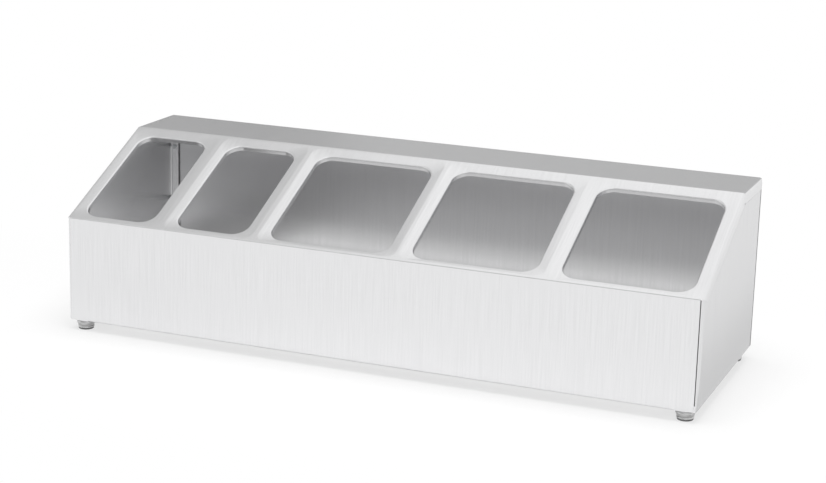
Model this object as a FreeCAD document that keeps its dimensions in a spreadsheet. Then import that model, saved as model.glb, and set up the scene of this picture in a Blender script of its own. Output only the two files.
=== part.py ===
import FreeCAD, Part
import math
import os
import re
import Sketcher

# Gastronorm pan holder: a folded stainless-steel case with a sloped deck of five drawn openings,
# on four levelling feet. X runs along the length, Y from front to back and Z up. The origin is on the
# surface it stands on, below the middle of the case. All lengths are in millimetres.

doc = FreeCAD.newDocument("pan_holder")
sheet = doc.addObject("Spreadsheet::Sheet", "Sizes")
cell_rows = iter(range(1, 500))


def cell(alias, number, meaning):
    """One driving size: its name, its value and what it measures."""
    row = next(cell_rows)
    sheet.set(f"A{row}", alias)
    sheet.set(f"B{row}", str(number))
    sheet.set(f"C{row}", meaning)
    sheet.setAlias(f"B{row}", alias)


# Case
cell("ledge_depth", 87, "level ledge behind the sloped deck")
cell("slope_angle", 25, "tilt of the deck, degrees")
cell("front_height", 121, "front panel, from its lower edge to the fold")
cell("foot_height", 12, "gap between the case and the surface it stands on")
cell("sheet_gauge", 1, "thickness of the sheet steel")
cell("bend_radius", 3, "outside radius of the sheet's bends")
cell("fold_radius", 1.5, "outside radius of the front panel's upper fold")
cell("fit_gap", 0.2, "play between two sheets that lie on each other")
cell("cut_overrun", 5, "how far a cut runs past what it cuts")

# Deck shell
cell("flange_depth", 13, "side and rear flanges of the deck")
cell("front_inset", 3, "front panel's edge, in from the side panel's face")
cell("front_corner_radius", 7, "lower corners of the front panel")
cell("return_depth", 25, "inward return along the front panel's lower edge")
cell("relief_run", 16, "length of the diagonal relief cut at the front of a side flange")
cell("relief_drop", 0.6, "where the relief cut starts, below the fold")
cell("relief_hole_radius", 1.5, "relief hole at the knee of a side flange")

# Openings
cell("narrow_width", 88, "cut-out for a one-ninth pan")
cell("wide_width", 142, "cut-out for a one-sixth pan")
cell("opening_depth", 156, "cut-out, up the slope")
cell("end_bar", 15, "deck between an end opening and the side panel's face")
cell("narrow_bar", 28, "deck between a narrow opening and the next")
cell("wide_bar", 26, "deck between two wide openings")
cell("opening_setback", 9.3, "fold to the lower edge of the openings, up the slope")
cell("opening_margin", 14.55, "upper edge of the openings to the knee, up the slope")
cell("opening_radius", 18, "corner radius of the openings")
cell("dish_depth", 1.2, "how far the deck is drawn down around an opening")
cell("dish_side", 11.5, "width of the drawn surround at the sides and above")
cell("dish_foot", 6.3, "width of the drawn surround below an opening")
cell("dish_radius", 10, "corner radius of the drawn surround")
cell("collar_depth", 7, "deck's surface to the lower edge of the collars")
cell("bead_radius", 1.8, "rounding where the surround turns down into the collar")

# Side panels
cell("seam_gap", 0.4, "gap between a deck flange and the side panel below it")
cell("rear_inset", 5.5, "side panel's rear edge, in from the rear flange's face")
cell("upright_flange", 12, "width of the front and rear flanges of a side panel")
cell("bottom_flange", 25, "width of the bottom flange of a side panel")
cell("lip_height", 9, "lip of a side panel, up behind the deck's flange")
cell("lip_foot", 5, "lip of a side panel, down behind its own face")

# Back panel
cell("rim_depth", 3.7, "back panel, over its rim")
cell("rim_inset", 2, "back panel's rim, in from the side panel's face")
cell("rim_top_gap", 2, "deck's surface to the back panel's upper rim")
cell("screw_inset", 6, "screw axes, in from the side panel's face")
cell("screw_radius", 1.45, "back panel screw, shank")
cell("screw_length", 7, "back panel screw, below its head")
cell("screw_head_radius", 2.8, "back panel screw, head")
cell("screw_head_height", 1.8, "back panel screw, head")
cell("screw_socket_radius", 1.15, "back panel screw, hexagon socket over its corners")
cell("screw_socket_depth", 1, "back panel screw, hexagon socket")
cell("screw_edge_round", 0.5, "back panel screw, rounding of the head")
cell("screw_play", 0.25, "screw hole's radius over the screw's")
cell("small_nut_radius", 3.1, "back panel nut, over its corners")
cell("small_nut_height", 2.4, "back panel nut")

# Feet
cell("foot_side_inset", 15, "foot's axis, in from the side panel's face")
cell("foot_front_inset", 13, "foot's axis, in from the front panel's face")
cell("foot_rear_inset", 18, "foot's axis, in from the rear flange's face")
cell("pad_top_radius", 11, "foot pad, upper edge")
cell("pad_low_radius", 9, "foot pad, lower edge")
cell("pad_gap", 0.3, "pad's top to the case at rest")
cell("pad_round", 0.8, "rounding of the pad's edges")
cell("sole_radius", 8.6, "rubber sole")
cell("sole_thickness", 1.5, "rubber sole, below the pad")
cell("sole_chamfer", 0.5, "lower edge of the rubber sole")
cell("boss_radius", 5, "sole's boss, held in the pad")
cell("boss_height", 1.5, "sole's boss")
cell("boss_play", 0.1, "play around the sole's boss")
cell("socket_floor", 4.8, "floor of the pad's socket, above the standing surface")
cell("stud_radius", 2.95, "stud, over its thread")
cell("stud_length", 30, "stud, from its foot to its slotted end")
cell("stud_foot_radius", 5, "round foot of the stud, held in the pad")
cell("stud_foot_height", 2, "round foot of the stud")
cell("socket_play", 0.3, "play around the stud's foot")
cell("thread_play", 0.05, "play between the stud and its nut")
cell("stud_chamfer", 0.6, "upper edge of the stud")
cell("slot_width", 1.2, "screwdriver slot in the stud")
cell("slot_depth", 1.6, "screwdriver slot in the stud")
cell("weld_nut_radius", 5.77, "weld nut, over its corners")
cell("weld_nut_height", 5, "weld nut")
cell("foot_plate_size", 42, "stiffening plate above each foot, along both edges")
cell("foot_plate_gauge", 2, "stiffening plate above each foot")
cell("foot_plate_clip", 20, "clipped corner of the stiffening plate")
cell("foot_plate_edge", 0.5, "stiffening plate to the start of the bend beside it")

doc.recompute()

# Formulas shared by several pieces, in the names of the sheet.
PAN_WIDTHS = ["narrow_width", "narrow_width", "wide_width", "wide_width", "wide_width"]
BARS = ["narrow_bar", "narrow_bar", "wide_bar", "wide_bar"]
LENGTH = f"({' + '.join(['end_bar', *PAN_WIDTHS, *BARS, 'end_bar'])})"
SLOPE_RUN = "((opening_setback + opening_depth + opening_margin) * cos(slope_angle))"
DEPTH = f"({SLOPE_RUN} + ledge_depth)"
HALF = f"({LENGTH} / 2)"
FRONT = f"(-{DEPTH} / 2)"
REAR = f"({DEPTH} / 2)"
FOLD = "(foot_height + front_height)"
KNEE = f"({FRONT} + {SLOPE_RUN})"
TOP = f"({FOLD} + {SLOPE_RUN} * tan(slope_angle))"
SIDE_FRONT = f"({FRONT} + sheet_gauge + fit_gap)"
SIDE_REAR = f"({REAR} - rear_inset)"
FLOOR_TOP = "(foot_height + sheet_gauge)"
PAD_TOP = "(foot_height - pad_gap)"
RELIEF_TOP = f"({FOLD} - relief_drop)"
RELIEF_LOW = f"({FOLD} + relief_run * tan(slope_angle) - flange_depth / cos(slope_angle))"
SIDES = [("left", -1), ("right", 1)]
ENDS = [("front", f"({FRONT} + foot_front_inset)"), ("rear", f"({REAR} - foot_rear_inset)")]
screw_height_shares = [0.14, 0.5, 0.86]
QUARTER_TURN = math.pi / 2
NEAR = 1e-4


def formula(text):
    """The text as an expression: every name with an underscore is a cell of the sheet."""
    return re.sub(r"\b([a-z]+(?:_[a-z]+)+)\b", r"Sizes.\1", text)


def value(text):
    """The number that a formula gives with the present sizes."""
    found = sheet.evalExpression(formula(text))
    return float(getattr(found, "Value", found))


def new_body(label):
    """An empty body, whose label names the sub-part's file."""
    body = doc.addObject("PartDesign::Body", label)
    body.Label = label
    return body


def new_sketch(body, name, plane, offset=("0", "0", "0"), tilt=None):
    """A sketch on one of the body's origin planes, moved by formulas and tilted about X if asked."""
    sketch = body.newObject("Sketcher::SketchObject", name)
    support = next(item for item in body.Origin.OriginFeatures if item.Role == plane)
    sketch.AttachmentSupport = (support, [""])
    sketch.MapMode = "FlatFace"
    turn = FreeCAD.Rotation(FreeCAD.Vector(1, 0, 0), value(tilt) if tilt else 0)
    sketch.AttachmentOffset = FreeCAD.Placement(FreeCAD.Vector(*[value(part) for part in offset]), turn)
    for axis, part in zip("xyz", offset):
        if part != "0":
            sketch.setExpression(f"AttachmentOffset.Base.{axis}", formula(part))
    if tilt:
        sketch.setExpression("AttachmentOffset.Rotation.Angle", formula(tilt))
    return sketch


def drive(sketch, kind, name, text, *places):
    """A constraint of the sketch that follows a formula."""
    index = sketch.addConstraint(Sketcher.Constraint(kind, *places, value(text)))
    sketch.renameConstraint(index, name)
    sketch.setExpression(f"Constraints.{name}", formula(text))


def polygon(sketch, points):
    """A closed outline whose corners are pairs of formulas."""
    corners = [FreeCAD.Vector(value(across), value(up), 0) for across, up in points]
    first = sketch.GeometryCount
    for number, corner in enumerate(corners):
        sketch.addGeometry(Part.LineSegment(corner, corners[(number + 1) % len(corners)]))
    for number, (across, up) in enumerate(points):
        line = first + number
        following = first + (number + 1) % len(points)
        sketch.addConstraint(Sketcher.Constraint("Coincident", line, 2, following, 1))
        drive(sketch, "DistanceX", f"across{line}", across, -1, 1, line, 1)
        drive(sketch, "DistanceY", f"up{line}", up, -1, 1, line, 1)
    return sketch


def rectangle(sketch, left, right, low, high):
    """An upright rectangle between four formulas."""
    return polygon(sketch, [(left, low), (right, low), (right, high), (left, high)])


def corner_waste(sketch, corner, start, end, centre, radius):
    """What rounding a corner takes away. Its arc runs anticlockwise from start to end, about centre."""
    far, tip, near_end = [FreeCAD.Vector(value(across), value(up), 0) for across, up in (end, corner, start)]
    middle = FreeCAD.Vector(value(centre[0]), value(centre[1]), 0)
    begin, finish = [math.atan2(spot.y - middle.y, spot.x - middle.x) for spot in (near_end, far)]
    if finish < begin:
        finish += 4 * QUARTER_TURN
    sketch.addGeometry(Part.LineSegment(far, tip))
    sketch.addGeometry(Part.LineSegment(tip, near_end))
    circle_under = Part.Circle(middle, FreeCAD.Vector(0, 0, 1), value(radius))
    sketch.addGeometry(Part.ArcOfCircle(circle_under, begin, finish))
    for number in range(3):
        sketch.addConstraint(Sketcher.Constraint("Coincident", number, 2, (number + 1) % 3, 1))
    for name, line, across, up in [("end", 0, *end), ("corner", 1, *corner), ("start", 2, *start)]:
        drive(sketch, "DistanceX", f"across_{name}", across, -1, 1, line, 1)
        drive(sketch, "DistanceY", f"up_{name}", up, -1, 1, line, 1)
    drive(sketch, "Radius", "radius", radius, 2)


def circle(sketch, across, up, radius):
    """A circle at a place and with a radius that are formulas."""
    centre = FreeCAD.Vector(value(across), value(up), 0)
    number = sketch.addGeometry(Part.Circle(centre, FreeCAD.Vector(0, 0, 1), value(radius)))
    drive(sketch, "DistanceX", f"across{number}", across, -1, 1, number, 3)
    drive(sketch, "DistanceY", f"up{number}", up, -1, 1, number, 3)
    drive(sketch, "Radius", f"radius{number}", radius, number)
    return sketch


def rounded_rectangle(sketch, left, right, low, high, radius):
    """A rectangle with four equal round corners, between four formulas."""
    x0, x1, y0, y1, r = [value(text) for text in (left, right, low, high, radius)]
    up = FreeCAD.Vector(0, 0, 1)
    runs = [
        ((x0 + r, y0), (x1 - r, y0), (x1 - r, y0 + r)),
        ((x1, y0 + r), (x1, y1 - r), (x1 - r, y1 - r)),
        ((x1 - r, y1), (x0 + r, y1), (x0 + r, y1 - r)),
        ((x0, y1 - r), (x0, y0 + r), (x0 + r, y0 + r)),
    ]
    for quarter, (start, end, centre) in enumerate(runs):
        sketch.addGeometry(Part.LineSegment(FreeCAD.Vector(*start, 0), FreeCAD.Vector(*end, 0)))
        arc = Part.Circle(FreeCAD.Vector(*centre, 0), up, r)
        begin = (quarter - 1) * QUARTER_TURN
        sketch.addGeometry(Part.ArcOfCircle(arc, begin, begin + QUARTER_TURN))
    for number in range(8):
        sketch.addConstraint(Sketcher.Constraint("Tangent", number, 2, (number + 1) % 8, 1))
    for number in (0, 4):
        sketch.addConstraint(Sketcher.Constraint("Horizontal", number))
    for number in (2, 6):
        sketch.addConstraint(Sketcher.Constraint("Vertical", number))
    for number in (3, 5, 7):
        sketch.addConstraint(Sketcher.Constraint("Equal", 1, number))
    drive(sketch, "Radius", "radius", radius, 1)
    drive(sketch, "DistanceY", "low", low, -1, 1, 0, 1)
    drive(sketch, "DistanceX", "right", right, -1, 1, 2, 1)
    drive(sketch, "DistanceY", "high", high, -1, 1, 4, 1)
    drive(sketch, "DistanceX", "left", left, -1, 1, 6, 1)
    return sketch


def pad(body, name, sketch, length, middle=False, reverse=False):
    """The sketch pushed out by a formula: to one side, or half each way."""
    feature = body.newObject("PartDesign::Pad", name)
    feature.Profile = sketch
    feature.Length = value(length)
    feature.setExpression("Length", formula(length))
    feature.Midplane = middle
    feature.Reversed = reverse
    doc.recompute()
    return feature


def pocket(body, name, sketch, length, middle=False, reverse=False):
    """A cut of the sketch's shape, which has to take something away."""
    before = body.Shape.Volume
    feature = body.newObject("PartDesign::Pocket", name)
    feature.Profile = sketch
    feature.Length = value(length)
    feature.setExpression("Length", formula(length))
    feature.Midplane = middle
    feature.Reversed = reverse
    doc.recompute()
    if not body.Shape.Volume < before:
        raise RuntimeError(f"{body.Label}: {name} cuts nothing")
    return feature


def revolve(body, name, sketch):
    """The sketch turned once about its upright axis."""
    feature = body.newObject("PartDesign::Revolution", name)
    feature.Profile = sketch
    feature.ReferenceAxis = (sketch, ["V_Axis"])
    feature.Angle = 360
    doc.recompute()
    return feature


def loft(body, kind, name, first, last):
    """A ruled loft from one sketch to another, added or cut away."""
    feature = body.newObject(f"PartDesign::{kind}Loft", name)
    feature.Profile = first
    feature.Sections = [last]
    feature.Ruled = True
    doc.recompute()
    return feature


def round_edges(body, name, radius, chosen):
    """A fillet on the edges of the body that the test chooses."""
    base = body.Tip
    edges = [f"Edge{number}" for number, edge in enumerate(base.Shape.Edges, 1) if chosen(edge)]
    if not edges:
        raise RuntimeError(f"{body.Label}: {name} finds no edge")
    feature = body.newObject("PartDesign::Fillet", name)
    feature.Base = (base, edges)
    feature.Radius = value(radius)
    feature.setExpression("Radius", formula(radius))
    doc.recompute()
    return feature


def near(number, text):
    """Whether a coordinate is the one that a formula gives."""
    return abs(number - value(text)) < NEAR


def along(edge, axis, **where):
    """Whether an edge runs along an axis and lies where the formulas say."""
    ends = [vertex.Point for vertex in edge.Vertexes]
    if len(ends) != 2:
        return False
    still = [other for other in "xyz" if other != axis]
    if any(abs(getattr(ends[0], other) - getattr(ends[1], other)) > NEAR for other in still):
        return False
    return all(near(getattr(end, other), text) for end in ends for other, text in where.items())


# Deck shell: front panel, sloped deck, ledge and flanges, folded from one sheet. It starts as a cap as
# deep as the flanges, which is rounded, hollowed from below and cut.

deck = new_body("deck_shell")
cap_outline = [
    (FRONT, FOLD),
    (KNEE, TOP),
    (REAR, TOP),
    (REAR, f"{TOP} - flange_depth"),
    (f"{KNEE} + flange_depth * tan(slope_angle / 2)", f"{TOP} - flange_depth"),
    (FRONT, f"{FOLD} - flange_depth / cos(slope_angle)"),
]
cap_sketch = polygon(new_sketch(deck, "cap_outline", "YZ_Plane"), cap_outline)
pad(deck, "cap", cap_sketch, LENGTH, middle=True)


def on_bend(edge, inset):
    """The deck's side edges, its rear edge and its rear corners, on the cap or inside it by a formula."""
    ends = [vertex.Point for vertex in edge.Vertexes]
    tilt = FreeCAD.Vector(0, -value("sin(slope_angle)"), value("cos(slope_angle)"))
    fold = FreeCAD.Vector(0, value(FRONT), value(FOLD))
    at_side = near(abs(ends[0].x), f"{HALF} - {inset}") and abs(ends[0].x - ends[-1].x) < NEAR
    behind = all(near(end.y, f"{REAR} - {inset}") for end in ends)
    level = all(near(end.z, f"{TOP} - {inset}") for end in ends)
    sloped = all(abs((fold - end).dot(tilt) - value(inset)) < NEAR for end in ends)
    return (at_side and (level or sloped or behind)) or (behind and level)


below = "(flange_depth + cut_overrun)"
cap_inside = [
    (f"{FRONT} - cut_overrun", f"{FOLD} - sheet_gauge / cos(slope_angle) - cut_overrun * tan(slope_angle)"),
    (f"{KNEE} + sheet_gauge * tan(slope_angle / 2)", f"{TOP} - sheet_gauge"),
    (f"{REAR} - sheet_gauge", f"{TOP} - sheet_gauge"),
    (f"{REAR} - sheet_gauge", f"{TOP} - {below}"),
    (f"{KNEE} + {below} * tan(slope_angle / 2)", f"{TOP} - {below}"),
    (f"{FRONT} - cut_overrun", f"{FOLD} - {below} / cos(slope_angle) - cut_overrun * tan(slope_angle)"),
]
inside_sketch = polygon(new_sketch(deck, "cap_inside_outline", "YZ_Plane"), cap_inside)
pocket(deck, "cap_inside", inside_sketch, f"{LENGTH} - 2 * sheet_gauge", middle=True)
round_edges(deck, "cap_inside_bends", "bend_radius - sheet_gauge", lambda edge: on_bend(edge, "sheet_gauge"))
round_edges(deck, "cap_bends", "bend_radius", lambda edge: on_bend(edge, "0"))

front_outline = [
    (FRONT, "foot_height"),
    (f"{FRONT} + sheet_gauge", "foot_height"),
    (f"{FRONT} + sheet_gauge", f"{FOLD} + sheet_gauge * tan(slope_angle)"),
    (FRONT, FOLD),
]
front_sketch = polygon(new_sketch(deck, "front_outline", "YZ_Plane"), front_outline)
pad(deck, "front_panel", front_sketch, f"{LENGTH} - 2 * front_inset", middle=True)
round_edges(
    deck,
    "front_corners",
    "front_corner_radius",
    lambda edge: along(edge, "y", z="foot_height"),
)
fold_reach = "fold_radius * tan((90 - slope_angle) / 2)"
fold_start = (FRONT, f"{FOLD} - {fold_reach}")
fold_end = (f"{FRONT} + {fold_reach} * cos(slope_angle)", f"{FOLD} + {fold_reach} * sin(slope_angle)")
fold_centre = (f"{FRONT} + fold_radius", f"{FOLD} - {fold_reach}")
fold_sketch = new_sketch(deck, "fold_outline", "YZ_Plane")
corner_waste(fold_sketch, (FRONT, FOLD), fold_end, fold_start, fold_centre, "fold_radius")
pocket(deck, "fold", fold_sketch, f"{LENGTH} + 2 * cut_overrun", middle=True)
relief_end = f"{FOLD} - flange_depth / cos(slope_angle) - cut_overrun"
relief_outline = [
    (f"{FRONT} - cut_overrun", RELIEF_TOP),
    (FRONT, RELIEF_TOP),
    (f"{FRONT} + relief_run", RELIEF_LOW),
    (f"{FRONT} + relief_run", relief_end),
    (f"{FRONT} - cut_overrun", relief_end),
]
for word, side in SIDES:
    offset = ("0", "0", f"{side} * ({HALF} - front_inset)")
    relief_sketch = polygon(new_sketch(deck, f"relief_outline_{word}", "YZ_Plane", offset), relief_outline)
    pocket(deck, f"front_relief_{word}", relief_sketch, "front_inset + cut_overrun", reverse=side > 0)

knee_sketch = new_sketch(deck, "knee_relief_outline", "YZ_Plane")
circle(knee_sketch, *cap_outline[4], "relief_hole_radius")
pocket(deck, "knee_relief", knee_sketch, f"{LENGTH} + 2 * cut_overrun", middle=True)

return_sketch = new_sketch(deck, "return_outline", "YZ_Plane")
rectangle(return_sketch, FRONT, f"{FRONT} + return_depth", "foot_height", FLOOR_TOP)
return_width = f"{LENGTH} - 2 * (bottom_flange + fit_gap)"
pad(deck, "front_return", return_sketch, return_width, middle=True)
heel_start = (FRONT, "foot_height + fold_radius")
heel_end = (f"{FRONT} + fold_radius", "foot_height")
heel_centre = (f"{FRONT} + fold_radius", "foot_height + fold_radius")
heel_sketch = new_sketch(deck, "heel_outline", "YZ_Plane")
corner_waste(heel_sketch, (FRONT, "foot_height"), heel_start, heel_end, heel_centre, "fold_radius")
pocket(deck, "heel", heel_sketch, return_width, middle=True)


def slope_sketch(name, depth):
    """A sketch on the deck's slope, below its surface by a formula. Y runs up the slope from the fold."""
    offset = ("0", f"{FRONT} + ({depth}) * sin(slope_angle)", f"{FOLD} - ({depth}) * cos(slope_angle)")
    return new_sketch(deck, name, "XY_Plane", offset, "slope_angle")


def draw_opening(number, left, width):
    """One opening: the deck drawn down around it, its collar and the hole."""
    right = f"({left} + {width})"
    low, high = "opening_setback", "(opening_setback + opening_depth)"
    surround = (
        f"{left} - dish_side",
        f"{right} + dish_side",
        f"{low} - dish_foot",
        f"{high} + dish_side",
        "dish_radius",
    )
    collar = (
        f"{left} - sheet_gauge",
        f"{right} + sheet_gauge",
        f"{low} - sheet_gauge",
        f"{high} + sheet_gauge",
        "opening_radius + sheet_gauge",
    )
    under_rim = rounded_rectangle(slope_sketch(f"under_rim{number}", "sheet_gauge"), *surround)
    under_collar = slope_sketch(f"under_collar{number}", "sheet_gauge + dish_depth")
    rounded_rectangle(under_collar, *collar)
    loft(deck, "Additive", f"under_dish{number}", under_rim, under_collar)
    pad(deck, f"collar{number}", under_collar, "collar_depth - sheet_gauge - dish_depth", reverse=True)
    rim = rounded_rectangle(slope_sketch(f"rim{number}", "0"), *surround)
    hole = slope_sketch(f"hole_outline{number}", "dish_depth")
    rounded_rectangle(hole, left, right, low, high, "opening_radius")
    loft(deck, "Subtractive", f"dish{number}", rim, hole)
    pocket(deck, f"hole{number}", hole, "collar_depth + cut_overrun")


place = f"(end_bar - {HALF})"
for number, width in enumerate(PAN_WIDTHS):
    draw_opening(number + 1, place, width)
    if number < len(BARS):
        place = f"({place} + {width} + {BARS[number]})"


def on_bead(edge):
    """The upper edge of a collar: it lies at the depth of the surround, round a hole."""
    tilt = FreeCAD.Vector(0, -value("sin(slope_angle)"), value("cos(slope_angle)"))
    fold = FreeCAD.Vector(0, value(FRONT), value(FOLD))
    depths = [(fold - vertex.Point).dot(tilt) for vertex in edge.Vertexes]
    return all(abs(depth - value("dish_depth")) < NEAR for depth in depths)


round_edges(deck, "beads", "bead_radius", on_bead)


# Side panels: pentagonal sheets with flanges turned inwards and a lip behind the deck's flange.


def flange_line(drop):
    """Front, knee and rear corners of a line below the deck's slope and ledge by a formula."""
    return [
        (f"{FRONT} + relief_run", f"{FOLD} + relief_run * tan(slope_angle) - ({drop}) / cos(slope_angle)"),
        (f"{KNEE} + ({drop}) * tan(slope_angle / 2)", f"{TOP} - ({drop})"),
    ]


def make_side_panel(label, side):
    """A side panel; side is -1 on the left and 1 on the right."""
    body = new_body(label)
    seam = "flange_depth + seam_gap"
    front_fall = f"({RELIEF_TOP} - {RELIEF_LOW}) / relief_run * (sheet_gauge + fit_gap)"
    outline = [
        (SIDE_FRONT, "foot_height"),
        (SIDE_REAR, "foot_height"),
        (SIDE_REAR, f"{TOP} - ({seam})"),
        *reversed(flange_line(seam)),
        (SIDE_FRONT, f"{RELIEF_TOP} - seam_gap - {front_fall}"),
    ]
    inner_edge = ("0", "0", f"{side} * ({HALF} - bottom_flange)")
    sketch = new_sketch(body, f"{label}_outline", "YZ_Plane", inner_edge)
    pad(body, f"{label}_blank", polygon(sketch, outline), "bottom_flange", reverse=side < 0)
    inside = [
        (f"{SIDE_FRONT} + sheet_gauge", FLOOR_TOP),
        (f"{SIDE_REAR} - sheet_gauge", FLOOR_TOP),
        (f"{SIDE_REAR} - sheet_gauge", f"{TOP} + cut_overrun"),
        (f"{SIDE_FRONT} + sheet_gauge", f"{TOP} + cut_overrun"),
    ]
    inside_sketch = polygon(new_sketch(body, f"{label}_inside_outline", "YZ_Plane", inner_edge), inside)
    pocket(body, f"{label}_inside", inside_sketch, "bottom_flange - sheet_gauge", reverse=side > 0)
    inner = {"x": f"{side} * ({HALF} - sheet_gauge)"}
    round_edges(
        body,
        f"{label}_inside_bends",
        "bend_radius - sheet_gauge",
        lambda edge: along(edge, "y", z=FLOOR_TOP, **inner)
        or along(edge, "z", y=f"{SIDE_FRONT} + sheet_gauge", **inner)
        or along(edge, "z", y=f"{SIDE_REAR} - sheet_gauge", **inner),
    )
    outer = {"x": f"{side} * {HALF}"}
    round_edges(
        body,
        f"{label}_bends",
        "bend_radius",
        lambda edge: along(edge, "y", z="foot_height", **outer)
        or along(edge, "z", y=SIDE_FRONT, **outer)
        or along(edge, "z", y=SIDE_REAR, **outer),
    )
    trim = new_sketch(body, f"{label}_trim_outline", "XZ_Plane")
    rectangle(
        trim,
        f"{side} * ({HALF} - bottom_flange - cut_overrun)",
        f"{side} * ({HALF} - upright_flange)",
        f"{FLOOR_TOP} + bend_radius",
        f"{TOP} + cut_overrun",
    )
    pocket(body, f"{label}_trim", trim, f"{DEPTH} + 2 * cut_overrun", middle=True)

    inner_play = "(sheet_gauge + fit_gap)"
    for part, thickness, top, drop in [
        ("lip", "sheet_gauge", f"{seam} - lip_height", f"{seam} + lip_foot"),
        ("joggle", inner_play, seam, f"{seam} + lip_foot"),
    ]:
        upper, lower = flange_line(top), flange_line(drop)
        lip_rear = f"{SIDE_REAR} - bend_radius"
        lip = [
            *upper,
            (lip_rear, f"{TOP} - ({top})"),
            (lip_rear, f"{TOP} - ({drop})"),
            *reversed(lower),
        ]
        offset = ("0", "0", f"{side} * ({HALF} - {inner_play} - sheet_gauge)")
        lip_sketch = polygon(new_sketch(body, f"{label}_{part}_outline", "YZ_Plane", offset), lip)
        pad(body, f"{label}_{part}", lip_sketch, thickness, reverse=side < 0)

    below_flange = ("0", "0", "foot_height - cut_overrun")
    stud_holes = new_sketch(body, f"{label}_stud_holes_outline", "XY_Plane", below_flange)
    for end, along_y in ENDS:
        circle(stud_holes, f"{side} * ({HALF} - foot_side_inset)", along_y, "stud_radius + socket_play")
    pocket(body, f"{label}_stud_holes", stud_holes, "sheet_gauge + 2 * cut_overrun", reverse=True)

    screw_holes = new_sketch(body, f"{label}_screw_holes_outline", "XZ_Plane", ("0", "0", f"-{SIDE_REAR}"))
    for height in screw_heights():
        circle(screw_holes, f"{side} * ({HALF} - screw_inset)", height, "screw_radius + screw_play")
    pocket(body, f"{label}_screw_holes", screw_holes, "2 * cut_overrun", middle=True)
    return body


def screw_heights():
    """Heights of the back panel's screws, as shares of the height of the side panel's rear flange."""
    flange_top = f"({TOP} - flange_depth)"
    return [f"(foot_height + ({flange_top} - foot_height) * {share})" for share in screw_height_shares]


make_side_panel("left_side_panel", -1)
make_side_panel("right_side_panel", 1)


# Back panel: a shallow tray, its flat face against the side panels' rear flanges and its rim behind.

back = new_body("back_panel")
back_sketch = new_sketch(back, "back_outline", "XZ_Plane", ("0", "0", f"-{SIDE_REAR}"))
rectangle(back_sketch, f"-({HALF} - rim_inset)", f"{HALF} - rim_inset", "foot_height", f"{TOP} - rim_top_gap")
pad(back, "back_blank", back_sketch, "rim_depth", reverse=True)
behind_plate = ("0", "0", f"-({SIDE_REAR} + sheet_gauge)")
inside_sketch = new_sketch(back, "back_inside_outline", "XZ_Plane", behind_plate)
rectangle(
    inside_sketch,
    f"-({HALF} - rim_inset - sheet_gauge)",
    f"{HALF} - rim_inset - sheet_gauge",
    FLOOR_TOP,
    f"{TOP} - rim_top_gap - sheet_gauge",
)
pocket(back, "back_inside", inside_sketch, "rim_depth")
round_edges(
    back,
    "back_inside_corners",
    "bend_radius - sheet_gauge",
    lambda edge: along(edge, "y") and near(abs(edge.Vertexes[0].X), f"{HALF} - rim_inset - sheet_gauge"),
)
round_edges(
    back,
    "back_corners",
    "bend_radius",
    lambda edge: along(edge, "y") and near(abs(edge.Vertexes[0].X), f"{HALF} - rim_inset"),
)
back_holes = new_sketch(back, "back_holes_outline", "XZ_Plane", ("0", "0", f"-{SIDE_REAR}"))
for word, side in SIDES:
    for height in screw_heights():
        circle(back_holes, f"{side} * ({HALF} - screw_inset)", height, "screw_radius + screw_play")
pocket(back, "back_holes", back_holes, "2 * cut_overrun", middle=True)


# Feet: a conical pad on a rubber sole, and a stud that turns in the pad and in a weld nut above it.


def foot_places():
    """Name, side and place of each foot."""
    for end, along_y in ENDS:
        for word, side in SIDES:
            yield f"{end}_{word}", side, f"{side} * ({HALF} - foot_side_inset)", along_y


def place_at(item, across, along_y, up="0"):
    """The object put at a place given by formulas."""
    base = FreeCAD.Vector(value(across), value(along_y), value(up))
    item.Placement = FreeCAD.Placement(base, item.Placement.Rotation)
    for axis, text in zip("xyz", (across, along_y, up)):
        if text != "0":
            item.setExpression(f"Placement.Base.{axis}", formula(text))


def make_turned(label, outline, across, along_y):
    """A turned piece of a foot, from half its section."""
    body = new_body(label)
    revolve(body, f"{label}_turning", polygon(new_sketch(body, f"{label}_section", "XZ_Plane"), outline))
    place_at(body, across, along_y)
    return body


boss_top = "(sole_thickness + boss_height)"
neck = "(stud_radius + socket_play)"
socket_top = "(socket_floor + stud_foot_height + socket_play)"
socket_low = "(socket_floor - socket_play)"
stud_top = "(socket_floor + stud_length)"
pad_section = [
    (neck, PAD_TOP),
    ("pad_top_radius", PAD_TOP),
    ("pad_low_radius", "sole_thickness"),
    ("boss_radius + boss_play", "sole_thickness"),
    ("boss_radius + boss_play", f"{boss_top} + boss_play"),
    ("0", f"{boss_top} + boss_play"),
    ("0", socket_low),
    ("stud_foot_radius + socket_play", socket_low),
    ("stud_foot_radius + socket_play", socket_top),
    (neck, socket_top),
]
sole_section = [
    ("0", "0"),
    ("sole_radius - sole_chamfer", "0"),
    ("sole_radius", "sole_chamfer"),
    ("sole_radius", "sole_thickness"),
    ("boss_radius", "sole_thickness"),
    ("boss_radius", boss_top),
    ("0", boss_top),
]
stud_section = [
    ("0", "socket_floor"),
    ("stud_foot_radius", "socket_floor"),
    ("stud_foot_radius", "socket_floor + stud_foot_height"),
    ("stud_radius", "socket_floor + stud_foot_height"),
    ("stud_radius", f"{stud_top} - stud_chamfer"),
    ("stud_radius - stud_chamfer", stud_top),
    ("0", stud_top),
]


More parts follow.
